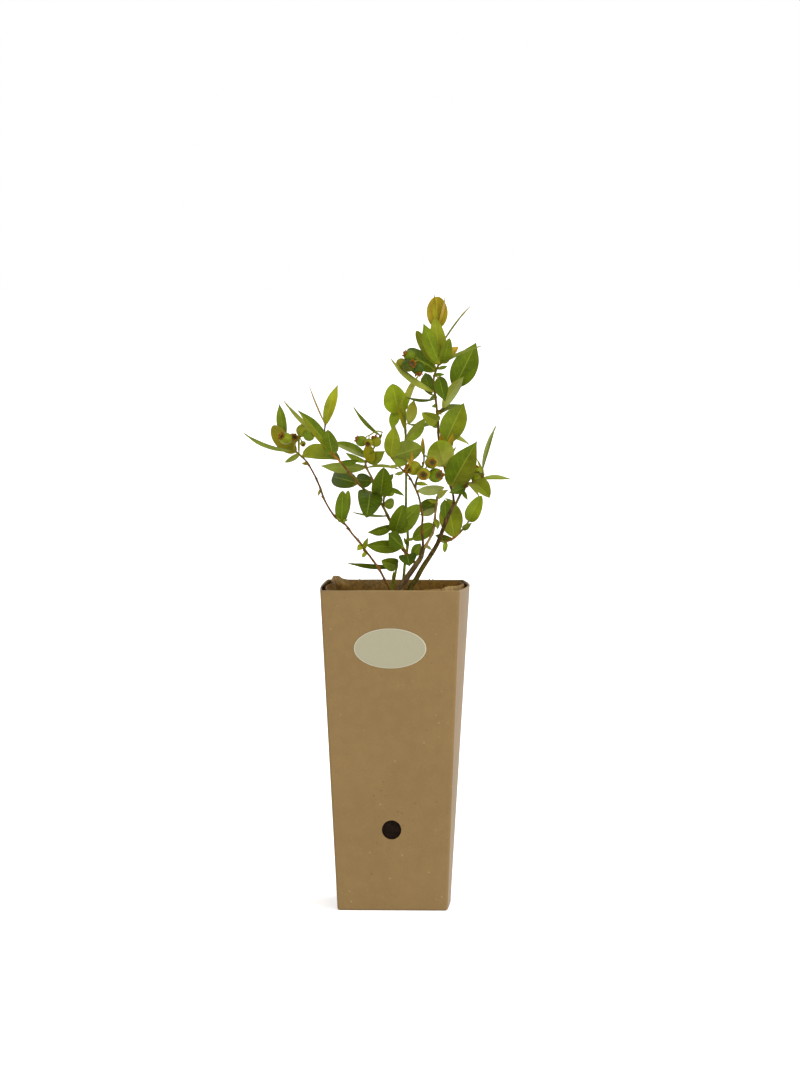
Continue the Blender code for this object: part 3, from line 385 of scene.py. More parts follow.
LEAVES["shoot_low_right"] = [
    Leaf((50, 305.5), (44, 337.5, 18), 20, "olive", 4, fold=8),
    oval((61.5, 319), (72, 340.2, -8), 13.5, "bright|lime", 4),
    Leaf((56.5, 312), (64, 317.5, -4), 5.5, "grey"),
    Leaf((48, 304.5), (33.8, 307.2, 17), 6, "mid", 20),
    oval((42.5, 302), (41.4, 293, 2), 4.6, "bright"),
]

# Each bunch: its shoot, the stem that carries its berries, then berries as centre (x, z, depth), radius, the
# way the crown looks (x, z, depth), the point of the stem that the stalk comes from, and the berry's tone.
BUNCHES = {}
BUNCHES["bunch_left"] = ("shoot_left",
    Stem([(-83.3, 379.2, 17), (-82, 384, 12), (-79, 388, 9)], (0.7, 0.6), "stem_yellow stem_lime"), [
    Berry((-90.4, 387.4, 3), 5.4, (-0.8, 0.5, -0.75), 1, "berry_lime"),
    Berry((-84.5, 387.6, 12), 4.4, (0.45, 0.3, -0.8), 1, "berry_brown"),
    Berry((-76, 394, 9), 5.8, (0.5, 1, -0.3), 2, "berry_lime"),
    Berry((-71, 389.6, 1), 4.8, (0.9, 0.5, -0.3), 2, "berry_green"),
    Berry((-76, 383, 6), 2.5, (0.2, -0.5, -1), 2, "berry_yellow"),
])
BUNCHES["bunch_mid_left"] = ("shoot_mid_left",
    Stem([(-10.6, 392.8, 8.8), (-15, 393.5, 4), (-21, 390, 0)], (0.65, 0.6), "stem_yellow stem_lime"), [
    Berry((-27.5, 385.3, -2), 4.9, (-1, 0.5, -0.3), 2, "berry_green"),
    Berry((-21.5, 384, -10), 3.8, (-0.2, -0.3, -1), 2, "berry_yellow"),
    Berry((-15.5, 384.8, -3), 4.7, (-0.4, 1, -0.2), 1, "berry_yellow"),
])
BUNCHES["bunch_middle"] = ("shoot_dark",
    Stem([(25, 373.4, -11.9), (27, 372, -16), (27, 366, -20), (25, 361, -21)], (0.7, 0.6),
          "stem_green stem_lime"), [
    Berry((16, 363, -27), 6.4, (-0.85, -0.1, -0.7), 3, "berry_yellow"),
    Berry((24, 358, -36.5), 5.6, (0, -0.1, -1), 3, "berry_yellow"),
    Berry((34, 357, -24), 6.4, (0.6, 0.1, -0.8), 3, "berry_green"),
    Berry((30.5, 367.5, -29), 5.4, (0.2, 0.1, -1), 2, "berry_yellow"),
])
BUNCHES["bunch_top"] = ("leader",
    Stem([(33, 444.2, 3.4), (27, 449, -3), (20, 452, -7)], (0.7, 0.6), "stem_green stem_lime"), [
    Berry((12.6, 456, -4), 5.1, (-1, 0.5, -0.3), 2, "berry_green"),
    # These two berries take the berries' green darkened by painted shade.
    Berry((11.5, 448, -13), 5.6, (0.6, 0.3, -0.7), 2, "berry_shaded"),
    Berry((19, 446, -6), 5.8, (0.2, -1, -0.4), 1, "berry_shaded"),
    Berry((5.6, 450, -4), 4.4, (-0.8, -0.8, 0.2), 2, "berry_yellow"),
])
BUNCHES["bunch_right"] = ("shoot_right",
    Stem([(73.1, 358.6, -14.8), (71.5, 358.6, -9)], (0.65, 0.6), "stem_green stem_lime"), [
    Berry((68.2, 360.4, 3), 4.3, (0.2, 1, -0.1), 1, "berry_lime"),
    Berry((68.8, 354.2, -4), 5.3, (1, 0.3, -0.4), 1, "berry_lime"),
])


def seen(x, z, depth, shift=0.0):
    """The point at a depth, plus a shift, that is seen from EYE at x, z of the mid plane."""
    reach = ((depth + shift) * MM - EYE.y) / -EYE.y
    return EYE + (Vector((x, 0, z)) * MM - EYE) * reach


def on_stem(point):
    """A stem's point, drawn apart in depth as in the solids."""
    x, z, depth = point
    return seen(x, z, depth * SPREAD)


def mixed(first, second, share):
    return Vector(first) * (1 - share) + Vector(second) * share


def tone_along(names, share):
    """The colour at a share of the way through evenly spaced tones."""
    tones = names.split()
    place = share * (len(tones) - 1)
    index = min(int(place), len(tones) - 2)
    return mixed(TONES[tones[index]], TONES[tones[index + 1]], place - index)


def ease(value, low, high):
    share = min(max((value - low) / (high - low), 0.0), 1.0)
    return share * share * (3 - 2 * share)


def smooth_path(points, steps=PATH_STEPS):
    """Points along a smooth curve through the given ones, with each one's place counted in given points."""
    ends = [points[0] * 2 - points[1], *points, points[-1] * 2 - points[-2]]
    path = []
    for index in range(len(points) - 1):
        a, b, c, d = ends[index:index + 4]
        for step in range(steps):
            t = step / steps
            place = b * 2 + (c - a) * t + (a * 2 - b * 5 + c * 4 - d) * t**2 + (b * 3 - a - c * 3 + d) * t**3
            path.append((place / 2, index + t))
    return path + [(points[-1], len(points) - 1)]


def around(side, other, angle):
    return side * math.cos(angle) + other * math.sin(angle)


def ring_faces(rows, count, start=0):
    """Quads between rows of points, each row a closed ring."""
    faces = []
    for low in range(start, start + (rows - 1) * count, count):
        for number in range(count):
            after = (number + 1) % count
            faces.append((low + number, low + after, low + count + after, low + count + number))
    return faces


def sheet_faces(rows, columns):
    """Faces of a thin sheet: a grid of points, the same grid on its other side, and walls between them."""
    count = columns + 1
    under = (rows + 1) * count
    faces = []
    for row in range(rows):
        first, last = row * count, row * count + columns
        for a in range(first, last):
            faces.append((a, a + 1, a + count + 1, a + count))
            faces.append((under + a, under + a + count, under + a + count + 1, under + a + 1))
        faces += [(a, a + count, under + a + count, under + a) for a in (first, last)]
    for first in (0, rows * count):
        faces += [(a, a + 1, under + a + 1, under + a) for a in range(first, first + columns)]
    return faces


def ball_ways(rows, spokes, way, side, other):
    """The ways from a ball's middle to its points between the poles, row by row, with their two angles."""
    for row in range(1, rows + 1):
        polar = math.pi * (1 - row / (rows + 1))
        for number in range(spokes):
            angle = math.tau * number / spokes
            yield polar, angle, way * math.cos(polar) + around(side, other, angle) * math.sin(polar)


def ball_faces(rows, spokes):
    """Faces of a ball: its lower pole, rows of points upwards, then its upper pole."""
    pole = rows * spokes + 1
    faces = [(0, 1 + (number + 1) % spokes, 1 + number) for number in range(spokes)]
    top = pole - spokes
    faces += [(top + number, top + (number + 1) % spokes, pole) for number in range(spokes)]
    return faces + ring_faces(rows, spokes, 1)


def loft(rings, tones, caps=True, levels=None):
    """A skin through rings of equal length; each ring has one tone or a tone for each of its points."""
    count = len(rings[0])
    points = [point for ring in rings for point in ring]
    tints = []
    for tone in tones:
        each = tone if isinstance(tone, list) else [tone] * count
        tints += [(*colour, 0.0) for colour in each]
    places = [(level, number / count) for level in levels or range(len(rings)) for number in range(count)]
    faces = ring_faces(len(rings), count)
    if caps:
        faces += [tuple(reversed(range(count))), tuple(range(len(points) - count, len(points)))]
    return Shape(points, faces, tints, places)


def tube(points, radii, colours, sides=TUBE_SIDES, rough=0.0):
    """A closed tube through points, its rings turned as little as possible from one to the next."""
    rings, levels = [], []
    side = (points[1] - points[0]).normalized().orthogonal().normalized()
    length = 0.0
    for index, point in enumerate(points):
        before = points[max(index - 1, 0)]
        axis = (points[min(index + 1, len(points) - 1)] - before).normalized()
        length += (point - before).length
        side = (side - axis * side.dot(axis)).normalized()
        other = axis.cross(side)
        ring = []
        for number in range(sides):
            spoke = around(side, other, math.tau * number / sides) * radii[index]
            ring.append(point + spoke * (1 + rough * noise.noise((point + spoke) * BARK_SCALE)))
        rings.append(ring)
        levels.append(length / MM)
    return loft(rings, colours, levels=levels)


def nearest(stems, place):
    """How many mm off a place the nearest stem point is seen, that point, its stem and its place on it."""
    best = (math.inf,)
    flat = Vector((*place, 0))
    for number, stem in enumerate(stems):
        for index, (start, end) in enumerate(zip(stem.points, stem.points[1:])):
            low, high = Vector((*start[:2], 0)), Vector((*end[:2], 0))
            along = min(max(intersect_point_line(flat, low, high)[1], 0.0), 1.0)
            distance = (low.lerp(high, along) - flat).length
            if distance < best[0]:
                best = (distance, Vector(start).lerp(Vector(end), along), number, index + along)
    return best


def radius_at(stem, share):
    return (stem.radii[0] + (stem.radii[1] - stem.radii[0]) * share) * MM


def stem_tube(stem, points, nodes, rough=BARK_ROUGH):
    """A smooth stem that swells at each place in nodes, and reaches back into what it grows from."""
    places, radii, colours = [], [], []
    for point, place in smooth_path(points):
        along = place / (len(points) - 1)
        swell = min(sum(math.exp(-(((place - node) * 6) ** 2)) for node in nodes), 1.0)
        places.append(point)
        radii.append(radius_at(stem, along) * (1.0 + NODE_SWELL * swell))
        colours.append(mixed(tone_along(stem.tones, along), TONES["bark_red"], 0.4 * swell))
    foot = places[0] + (places[0] - places[1]).normalized() * MM
    return tube([foot] + places, [radii[0]] + radii, [colours[0]] + colours, rough=rough)


def buds(stem, points, draw):
    """Small scaly buds along a stem, left and right by turns, and the places where they sit."""
    shapes, nodes = [], []
    last = len(points) - 1
    place = draw.uniform(1.2, 1.8)
    hand = 1
    while place < last - 0.6:
        index = int(place)
        start = points[index].lerp(points[index + 1], place - index)
        axis = (points[index + 1] - points[index]).normalized()
        side = axis.cross((EYE - start).normalized()) * hand
        size = draw.uniform(0.8, 1.2) * MM
        root = start + side * radius_at(stem, place / last) * 0.6
        tip = root + (side * 0.8 + axis).normalized() * size * 2.2
        path = [root.lerp(tip, step / 5) for step in range(6)]
        tones = [mixed(TONES["bark_red"], TONES["crown_orange"], step / 8) for step in range(6)]
        shapes.append(tube(path, [size * width for width in BUD_WIDTHS], tones, 8))
        nodes.append(place)
        place += draw.uniform(1.1, 1.9)
        hand = -hand
    return shapes, nodes


def full_width(along, blunt):
    """A blade's width at a share of its length, as a share of its greatest, pointed unless blunt."""
    if not 0 < along < 1:
        return 0.0
    if blunt:
        return math.sin(math.pi * along ** 0.84) ** 0.52
    body = math.sin(math.pi * min(along, SHOULDER) ** 0.9) ** 0.68
    reach = 1 - SHOULDER
    t = max(along - SHOULDER, 0.0) / reach
    taper = -1.1 * reach * (t**3 - 2 * t**2 + t) - 2.6 * reach * (t**3 - t**2)
    return body * (2 * t**3 - 3 * t**2 + 1) + taper


def blade_tone(tone, along, across):
    """The colour of a blade's seen side: "a>b" from base to tip, "a|b" from its left half to its right."""
    if ">" in tone:
        share = ease(along, 0.15, 0.95)
    else:
        share = ease(across, -0.12, 0.12)
    first, _, second = tone.replace(">", "|").partition("|")
    return mixed(TONES[first], TONES[second or first], share)


def blade(item, base, tip, seed):
    """A folded, arched blade with a sunken midrib, a wavy margin, and each side in its own colour: the lower
    face is paler and greyer, the upper one greener."""
    phase = random.Random(seed).uniform(0, math.tau)
    axis = (tip - base).normalized()
    length = (tip - base).length
    to_eye = (EYE - (base + tip) / 2).normalized()
    side = Matrix.Rotation(math.radians(-item.turn), 3, axis) @ axis.cross(to_eye).normalized()
    upper = side.cross(axis)
    fold = math.radians(item.fold)
    width = item.width * MM
    rows = max(8, round(length / BLADE_STEP))
    columns = 2 * max(3, round(width / 2 / BLADE_STEP))
    shows_lower = 90 < item.turn < 270
    hidden, amount = ("green", 0.75) if shows_lower else ("grey", 0.65)
    verts, tints, places = [], [], []
    for face in (1, -1):
        for row in range(rows + 1):
            along = 0.25 - 0.25 * math.cos(math.pi * row / rows) + 0.5 * row / rows
            centre = base.lerp(tip, along) + upper * item.arch * length * 4 * along * (1 - along)
            neck = PETIOLE + (TIP_THICK - PETIOLE) * along
            half = max(full_width(along, item.blunt) * width / 2, neck)
            edge = math.cos(fold) * half
            stalk = 1 - ease(along, 0.03, 0.12)
            for column in range(columns + 1):
                across = 2 * column / columns - 1
                rise = (math.sqrt(across**2 + 0.01) - 0.1) / (math.sqrt(1.01) - 0.1) * edge * math.tan(fold)
                turn = 9 * along + phase + (1.7 if across > 0 else 0)
                wave = MARGIN_WAVE * half * across**2 * math.sin(turn)
                rib = math.exp(-((across * half / RIB_WIDTH) ** 2)) * (1 - 0.6 * along) * RIB_DEPTH
                thick = BLADE_THICKNESS / 2 * (1 - 0.75 * across**4) if half > 2 * PETIOLE else PETIOLE * 0.7
                up = rise + wave + face * thick - rib * (1.0 if face < 0 else 0.6)
                verts.append(centre + side * across * edge + upper * up)
                colour = blade_tone(item.tone, along, across)
                if (face > 0) == shows_lower:
                    colour = mixed(colour, TONES[hidden], amount)
                colour = mixed(colour, TONES["stem_yellow"], 0.7 * stalk)
                tints.append((*colour, 1.0 if face < 0 else 0.0))
                places.append((along, across))
    return Shape(verts, sheet_faces(rows, columns), tints, places)


def leaf_shapes(name, number, item, stems):
    """The fine blade of a leaf, and its stalk where it stands off its stem, both as in the solids."""
    distance, root, _, _ = nearest(stems, item.base)
    shift = root.z * (SPREAD - 1)
    rooted = item.depth is None and distance * MM < ON_STEM
    depth = root.z if item.depth is None else item.depth
    start = on_stem(root) if rooted else seen(*item.base, depth, shift)
    tip = seen(*item.tip, shift)
    shapes = [blade(item, start, tip, f"{name}{number}")]
    if not rooted:
        reach = start + (tip - start).normalized() * MM
        middle = on_stem(root).lerp(reach, 0.5) + Vector((0, 0, -0.3 * MM))
        shapes.append(tube([on_stem(root), middle, reach], [PETIOLE] * 3, [TONES["stem_yellow"]] * 3, 8))
    return shapes


def build(name, shapes, mat, smooth_angle):
    """One object from shapes, with their colours as an attribute and their places as a map."""
    verts, faces, tints, places = [], [], [], []
    for shape in shapes:
        faces += [[len(verts) + index for index in face] for face in shape.faces]
        verts += shape.points
        tints += shape.colours
        places += shape.places
    mesh = bpy.data.meshes.new(name)
    mesh.from_pydata(verts, [], faces)
    tone = mesh.color_attributes.new("tone", "FLOAT_COLOR", "POINT")
    tone.data.foreach_set("color", [value for tint in tints for value in tint])
    layer = mesh.uv_layers.new(name="place")
    layer.data.foreach_set("uv", [value for loop in mesh.loops for value in places[loop.vertex_index]])
    work = bmesh.new()
    work.from_mesh(mesh)
    bmesh.ops.recalc_face_normals(work, faces=work.faces)
    work.to_mesh(mesh)
    work.free()
    mesh.shade_smooth()
    mesh.set_sharp_from_angle(angle=math.radians(smooth_angle))
    mesh.materials.append(mat)
    item = bpy.data.objects.new(name, mesh)
    bpy.context.scene.collection.objects.link(item)
    return item


def dress(item, slot, *nodes):
    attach(item, "root")
    if nodes:
        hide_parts(*nodes)


class Nodes:
    """Short ways to add and join the nodes of one material."""

    def __init__(self, name):
        self.material = bpy.data.materials.new(name)
        self.material.use_nodes = True
        self.tree = self.material.node_tree
        self.shader = self.tree.nodes["Principled BSDF"]

    def fill(self, node, inputs):
        """Joins a node's inputs to sockets or sets them to values, and gives its outputs."""
        for key, value in inputs.items():
            if isinstance(value, bpy.types.NodeSocket):
                self.tree.links.new(value, node.inputs[key])
            else:
                node.inputs[key].default_value = value
        return node.outputs

    def add(self, kind, inputs, **settings):
        node = self.tree.nodes.new("ShaderNode" + kind)
        for key, value in settings.items():
            setattr(node, key, value)
        return self.fill(node, inputs)

    def surface(self):
        """The painted tone with its alpha, and the position, at each point of the skin."""
        tone, alpha = self.add("VertexColor", {}, layer_name="tone")
        return tone, alpha, self.add("NewGeometry", {})["Position"]

    def math(self, operation, *values):
        return self.add("Math", dict(enumerate(values)), operation=operation)[0]

    def times(self, first, second):
        return self.math("MULTIPLY", first, second)

    def plus(self, first, second):
        return self.math("ADD", first, second)

    def ramp(self, value, low, high):
        """0 below low and 1 above high, smooth between them; the other way round if low is above high."""
        limits = {"Value": value, "From Min": low, "From Max": high}
        return self.add("MapRange", limits, interpolation_type="SMOOTHSTEP")[0]

    def span(self, value, low, high, start=0.0, end=1.0):
        """From low to high as a value goes from start to end."""
        limits = {"Value": value, "From Min": start, "From Max": end, "To Min": low, "To Max": high}
        return self.add("MapRange", limits)[0]

    def mix(self, share, first, second, blend="MIX"):
        return self.add("Mix", {0: share, 6: first, 7: second}, data_type="RGBA", blend_type=blend)[2]

    def shade(self, colour, grain, low, high):
        """A colour made darker and lighter by a noise."""
        return self.mix(1.0, colour, self.span(grain, low, high, 0.3, 0.7), "MULTIPLY")

    def moved(self, vector, **by):
        return self.add("Mapping", {"Vector": vector, **by})[0]

    def noise(self, vector, scale, detail):
        return self.add("TexNoise", {"Vector": vector, "Scale": scale, "Detail": detail})[0]

    def cells(self, vector, scale, feature="F1"):
        """How far each point is from the middle of its cell, or from its cell's edge."""
        return self.add("TexVoronoi", {"Vector": vector, "Scale": scale}, feature=feature)["Distance"]

    def finish(self, colour, rough, gloss, height, strength, depth):
        """Gives the material, its shader set to a colour and a sheen, with bumps of a strength and depth."""
        bumps = self.add("Bump", {"Height": height, "Strength": strength, "Distance": depth})[0]
        values = {"Base Color": colour, "Roughness": rough, "Specular IOR Level": gloss, "Normal": bumps}
        self.fill(self.shader, values)
        return self.material


def leaf_material():
    """Leaf skin: paler midrib and side veins, a fine net between them, blotches and a thin warm margin."""
    nodes = Nodes("leaf_skin")
    tone, under, position = nodes.surface()
    place = nodes.add("UVMap", {}, uv_map="place")[0]
    along, across, _ = nodes.add("SeparateXYZ", {0: place})
    off = nodes.math("ABSOLUTE", across)
    midrib = nodes.ramp(off, 0.075, 0.02)
    lean = nodes.times(nodes.math("POWER", off, 1.25), 2.1)
    wobble = nodes.times(nodes.noise(place, 1.6, 1), 0.7)
    stripe = nodes.math("SUBTRACT", nodes.times(along, 7.0), lean)
    stripe = nodes.math("FRACT", nodes.plus(stripe, wobble))
    away = nodes.math("ABSOLUTE", nodes.math("SUBTRACT", stripe, 0.5))
    side_vein = nodes.times(nodes.ramp(away, 0.085, 0.02), nodes.ramp(off, 0.97, 0.7))
    net = nodes.cells(nodes.moved(place, Scale=(26.0, 8.0, 1.0)), 1.0, "DISTANCE_TO_EDGE")
    net_line = nodes.ramp(net, 0.11, 0.02)
    blotch = nodes.noise(position, 90, 4)
    colour = nodes.shade(tone, blotch, 0.78, 1.2)
    light = nodes.mix(0.5, colour, (0.36, 0.40, 0.05, 1.0))
    veins = nodes.math("MAXIMUM", nodes.times(side_vein, 0.26), nodes.times(midrib, 0.6))
    veins = nodes.math("MAXIMUM", veins, nodes.times(net_line, 0.14))
    colour = nodes.mix(veins, colour, light)
    margin = nodes.times(nodes.ramp(off, 0.90, 1.0), nodes.ramp(nodes.noise(position, 35, 2), 0.45, 0.65))
    colour = nodes.mix(nodes.times(margin, 0.55), colour, (0.22, 0.09, 0.02, 1.0))
    rough = nodes.plus(nodes.span(under, 0.40, 0.62), nodes.times(blotch, 0.12))
    raised = nodes.plus(nodes.times(side_vein, 0.7), nodes.times(net_line, 0.3))
    raised = nodes.times(nodes.plus(raised, midrib), nodes.span(under, -1.0, 1.0))
    return nodes.finish(colour, rough, 0.06, raised, 0.5, 0.25 * MM)


def bark_material():
    """Bark and young rind: lengthwise streaks, dark flecks and small pale pores over the stem's tone."""
    nodes = Nodes("bark_skin")
    tone, _, position = nodes.surface()
    streak = nodes.noise(nodes.moved(position, Scale=(1.0, 1.0, 0.22)), 900, 4)
    colour = nodes.shade(tone, nodes.noise(position, 160, 4), 0.55, 1.5)
    pale = (0.26, 0.17, 0.07, 1.0)
    colour = nodes.mix(nodes.ramp(streak, 0.5, 0.75), colour, nodes.mix(0.3, colour, pale))
    pore = nodes.ramp(nodes.cells(position, 420.0), 0.24, 0.12)
    colour = nodes.mix(nodes.times(pore, 0.22), colour, pale)
    return nodes.finish(colour, 0.7, 0.1, streak, 0.5, 0.3 * MM)


def berry_material():
    """Unripe berry skin: green under a thin waxy bloom, with faint spots."""
    nodes = Nodes("berry_skin")
    tone, _, position = nodes.surface()
    blotch = nodes.noise(position, 260, 4)
    colour = nodes.shade(tone, blotch, 0.8, 1.2)
    bloom = nodes.ramp(nodes.noise(position, 600, 3), 0.5, 0.75)
    colour = nodes.mix(nodes.times(bloom, 0.05), colour, (0.45, 0.50, 0.10, 1.0))
    spots = nodes.ramp(nodes.cells(position, 700.0), 0.2, 0.1)
    colour = nodes.mix(spots, colour, nodes.mix(0.4, colour, (0.04, 0.03, 0.01, 1.0)))
    return nodes.finish(colour, 0.42, 0.1, blotch, 0.15, 0.2 * MM)


def kraft_material():
    """Kraft board: soft mottling, short fibres, pale flecks and dark specks over the board's tone."""
    nodes = Nodes("kraft_board")
    tone, _, position = nodes.surface()
    colour = tone
    for scale, detail, low, high in ((16, 3, 0.94, 1.05), (110, 4, 0.95, 1.05), (700, 3, 0.94, 1.06)):
        fibres = nodes.noise(position, scale, detail)
        colour = nodes.shade(colour, fibres, low, high)
    for scale, place, amount, fleck in (
        (190.0, (0.0, 0.0, 0.0), 0.30, (0.42, 0.32, 0.18, 1.0)),
        (150.0, (0.3, 0.1, 0.2), 0.55, (0.05, 0.03, 0.01, 1.0)),
    ):
        moved = nodes.moved(position, Location=place)
        few = nodes.ramp(nodes.noise(moved, 70, 1), 0.56, 0.64)
        spot = nodes.times(nodes.ramp(nodes.cells(moved, scale), 0.16, 0.06), few)
        colour = nodes.mix(nodes.times(spot, amount), colour, fleck)
    gloss = nodes.times(nodes.ramp(tone, 0.04, 0.075), 0.5)
    nodes.fill(nodes.shader, {"Specular Tint": (1.0, 0.87, 0.6, 1.0)})
    return nodes.finish(colour, 0.55, gloss, fibres, 0.12, 0.2 * MM)


def grain_material(name, scale, detail, low, high, rough, gloss, strength, depth):
    """Paper or soil with a grain between two brightnesses over its own tone."""
    nodes = Nodes(name)
    tone, _, position = nodes.surface()
    grain = nodes.noise(position, scale, detail)
    return nodes.finish(nodes.shade(tone, grain, low, high), rough, gloss, grain, strength, depth)


def berry_shapes(berry, shift, root):
    """A berry with its sunken dark eye, the five lobes of its crown and its stalk."""
    centre = seen(*berry.centre, shift)
    radius = berry.radius * MM
    x, z, depth = berry.crown
    way = Vector((x, depth, z)).normalized()
    side = way.orthogonal().normalized()
    other = way.cross(side)
    green, dark = TONES[berry.tone], TONES["bark_dark"]
    verts, tints = [centre - way * radius * 0.94], [(*green, 0.0)]
    for polar, angle, out in ball_ways(BERRY_ROWS, BERRY_SPOKES, way, side, other):
        eye = 1 - ease(polar, 0.35, 0.62)
        out *= radius * (1 - 0.22 * eye + 0.03 * math.exp(-(((polar - 0.68) / 0.14) ** 2)))
        out.z *= 0.94
        verts.append(centre + out)
        blush = 0.14 * max(math.sin(angle + berry.radius * 900), 0) * math.sin(polar)
        shadow = 0.95 * (1 - ease(polar, 0.40, 0.62))
        tints.append((*mixed(mixed(green, TONES["crown_orange"], blush), dark, shadow), 0.0))
    verts.append(centre + way * radius * 0.76)
    tints.append((*dark, 0.0))
    shapes = [Shape(verts, ball_faces(BERRY_ROWS, BERRY_SPOKES), tints, [(0, 0)] * len(verts))]
    for lobe in range(CROWN_LOBES):
        turn = math.tau * lobe / CROWN_LOBES
        shapes.append(crown_lobe(centre, radius, way, side, other, turn, berry.tone))
    tip = centre - (centre - root).normalized() * radius * 0.7
    middle = root.lerp(tip, 0.5) + Vector((0, 0, 0.6 * MM))
    path = [point for point, _ in smooth_path([root, middle, tip], 4)]
    shares = [index / (len(path) - 1) for index in range(len(path))]
    stalk = [tone_along("stem_yellow stem_lime", share) for share in shares]
    return shapes + [tube(path, [(0.5 + 0.25 * share**3) * MM for share in shares], stalk, 8)]


def crown_lobe(centre, radius, way, side, other, turn, tone):
    """One lobe of the crown's cup: a scale that leans outwards, green at its foot and red at its tip."""
    verts, tints, places = [], [], []
    steps = [step / LOBE_STEPS for step in range(LOBE_STEPS + 1)]
    for inner in (0.0, 1.0):
        for along in steps:
            out = radius * (0.45 + 0.20 * along) - inner * 0.3 * MM
            up = radius * (0.72 + 0.44 * along)
            spread = 0.64 * (1 - max(along - 0.35, 0) ** 1.6 / 0.52) + 0.03
            colour = mixed(TONES[tone], TONES["crown_orange"], min(0.3 + along, 1.0))
            colour = mixed(colour, TONES["crown_red"], (0.75 if inner else 0.5) * along)
            for across in steps:
                angle = turn + spread * (2 * across - 1)
                verts.append(centre + way * up + around(side, other, angle) * out)
                tints.append((*colour, 0.0))
                places.append((along, across))
    return Shape(verts, sheet_faces(LOBE_STEPS, LOBE_STEPS), tints, places)


def make_shoot(name, skins):
    """The stems and leaves that stand for one leafy shoot of the solids."""
    stems, leaves = STEMS[name], LEAVES.get(name, [])
    roots = [nearest(stems, item.base) for item in leaves]
    draw = random.Random(name)
    tubes = []
    for number, stem in enumerate(stems):
        nodes = [place for _, _, stem_number, place in roots if stem_number == number]
        points = [on_stem(point) for point in stem.points]
        extra, places = buds(stem, points, draw) if stem.radii[0] < 1.2 else ([], [])
        tubes += [stem_tube(stem, points, nodes + places)] + extra
    slot = "bark_green" if name == "cane_green" else "bark_brown"
    dress(build(name + "_stem", tubes, skins["bark"], 60), slot, name)
    blades = []
    for number, item in enumerate(leaves):
        blades += leaf_shapes(name, number, item, stems)
    if blades:
        dress(build(name + "_leaves", blades, skins["leaf"], 65), "leaf", name)


def make_bunch(name, skins):
    parent, stem, berries = BUNCHES[name]
    shift = nearest(STEMS[parent], stem.points[0][:2])[1].z * (SPREAD - 1)
    points = [seen(*point, shift) for point in stem.points]
    shapes = [stem_tube(stem, points, [], rough=0.0)]
    for berry in berries:
        shapes += berry_shapes(berry, shift, points[berry.root])
    dress(build(name + "_berries", shapes, skins["berry"], 60), "berry", name)


def half_side(height):
    return BASE_HALF + (TOP_HALF - BASE_HALF) * height / RIM


def section(height, inset=0.0):
    """The carton's section at a height, moved inwards, anticlockwise from the front right corner."""
    share = height / RIM
    half = half_side(height) - inset
    radius = max(CORNER_RADIUS - inset, LEAST_RADIUS)
    straight = half - radius
    middle = Vector((TOP_LEAN * share, 0, height))
    points = []
    for quarter, limits in enumerate((CREASE_RIGHT, (0, 0), CREASE_LEFT, (0, 0))):
        turn = math.pi / 2 * quarter
        out = Vector((round(math.cos(turn)), round(math.sin(turn)), 0))
        along = Vector((-out.y, out.x, 0))
        for step in range(CORNER_STEPS + 1):
            angle = turn + math.pi / 2 * (step / CORNER_STEPS - 1)
            spoke = Vector((math.cos(angle), math.sin(angle), 0)) * radius
            points.append(middle + (out - along) * straight + spoke)
        bulge = limits[0] + (limits[1] - limits[0]) * share
        for step in range(1, WALL_STEPS):
            t = 2 * step / WALL_STEPS - 1
            bow = bulge * (1 - abs(t) ** 1.7)
            points.append(middle + out * (half + bow) + along * straight * t)
    return points


def bump(angle, centre, width):
    """A smooth hump round an angle in degrees, 1 at its middle."""
    away = (angle - centre + 180) % 360 - 180
    return math.exp(-(away / width) ** 2)


def angle_of(point):
    return math.degrees(math.atan2(point.y, point.x))


def torn(point, depth):
    """How far a torn edge dips at a point."""
    return depth * (0.5 + 0.5 * noise.noise(point * 900)) + depth * 0.6 * max(noise.noise(point * 260), 0)


def make_carton(material):
    """The board carton, with its soft corners and a torn top edge that is greyest on the left."""
    wall = RIM - FOOT_BEVEL
    heights = [FOOT_BEVEL + wall * step / HEIGHT_STEPS for step in range(HEIGHT_STEPS)]
    heights.append(RIM - EDGE_START)
    rings = [section(0, FOOT_BEVEL)] + [section(height) for height in heights]
    # The foot ring is the board's tone at 0.7: painted shade along the carton's bottom edge.
    tones = [Vector(KRAFT) * 0.7] + [KRAFT] * len(heights)
    for inset, drop in ((0.0, EDGE_ROUND), (EDGE_ROUND, 0.0), (BOARD - 0.3 * MM, 0.0)):
        ring = section(RIM, inset)
        colours = []
        for point in ring:
            left = bump(angle_of(point), -163, 32)
            point.z -= drop + torn(point, (0.2 + 1.0 * left) * MM)
            colours.append(mixed(mixed(KRAFT, KRAFT_EDGE, 0.6), TORN_GREY, 0.9 * left))
        rings.append(ring)
        tones.append(colours)
    # The inner walls take the board's tone darkened by painted shade, darker still and mixed with the peat's
    # tone towards the left front corner.
    inner = [RIM - 2 * MM, RIM * 0.9, RIM * 0.8, RIM * 0.5, BOARD]
    rings += [section(height, BOARD) for height in inner]
    dark_corner = [mixed(KRAFT_INSIDE_SHADED, PEAT, bump(angle_of(point), -165, 30)) for point in rings[-1]]
    tones += [dark_corner] * len(inner)
    body = build("carton_board", [loft(rings, tones)], material, 40)
    cut_hole(body)
    dress(body, "kraft_board", "carton")


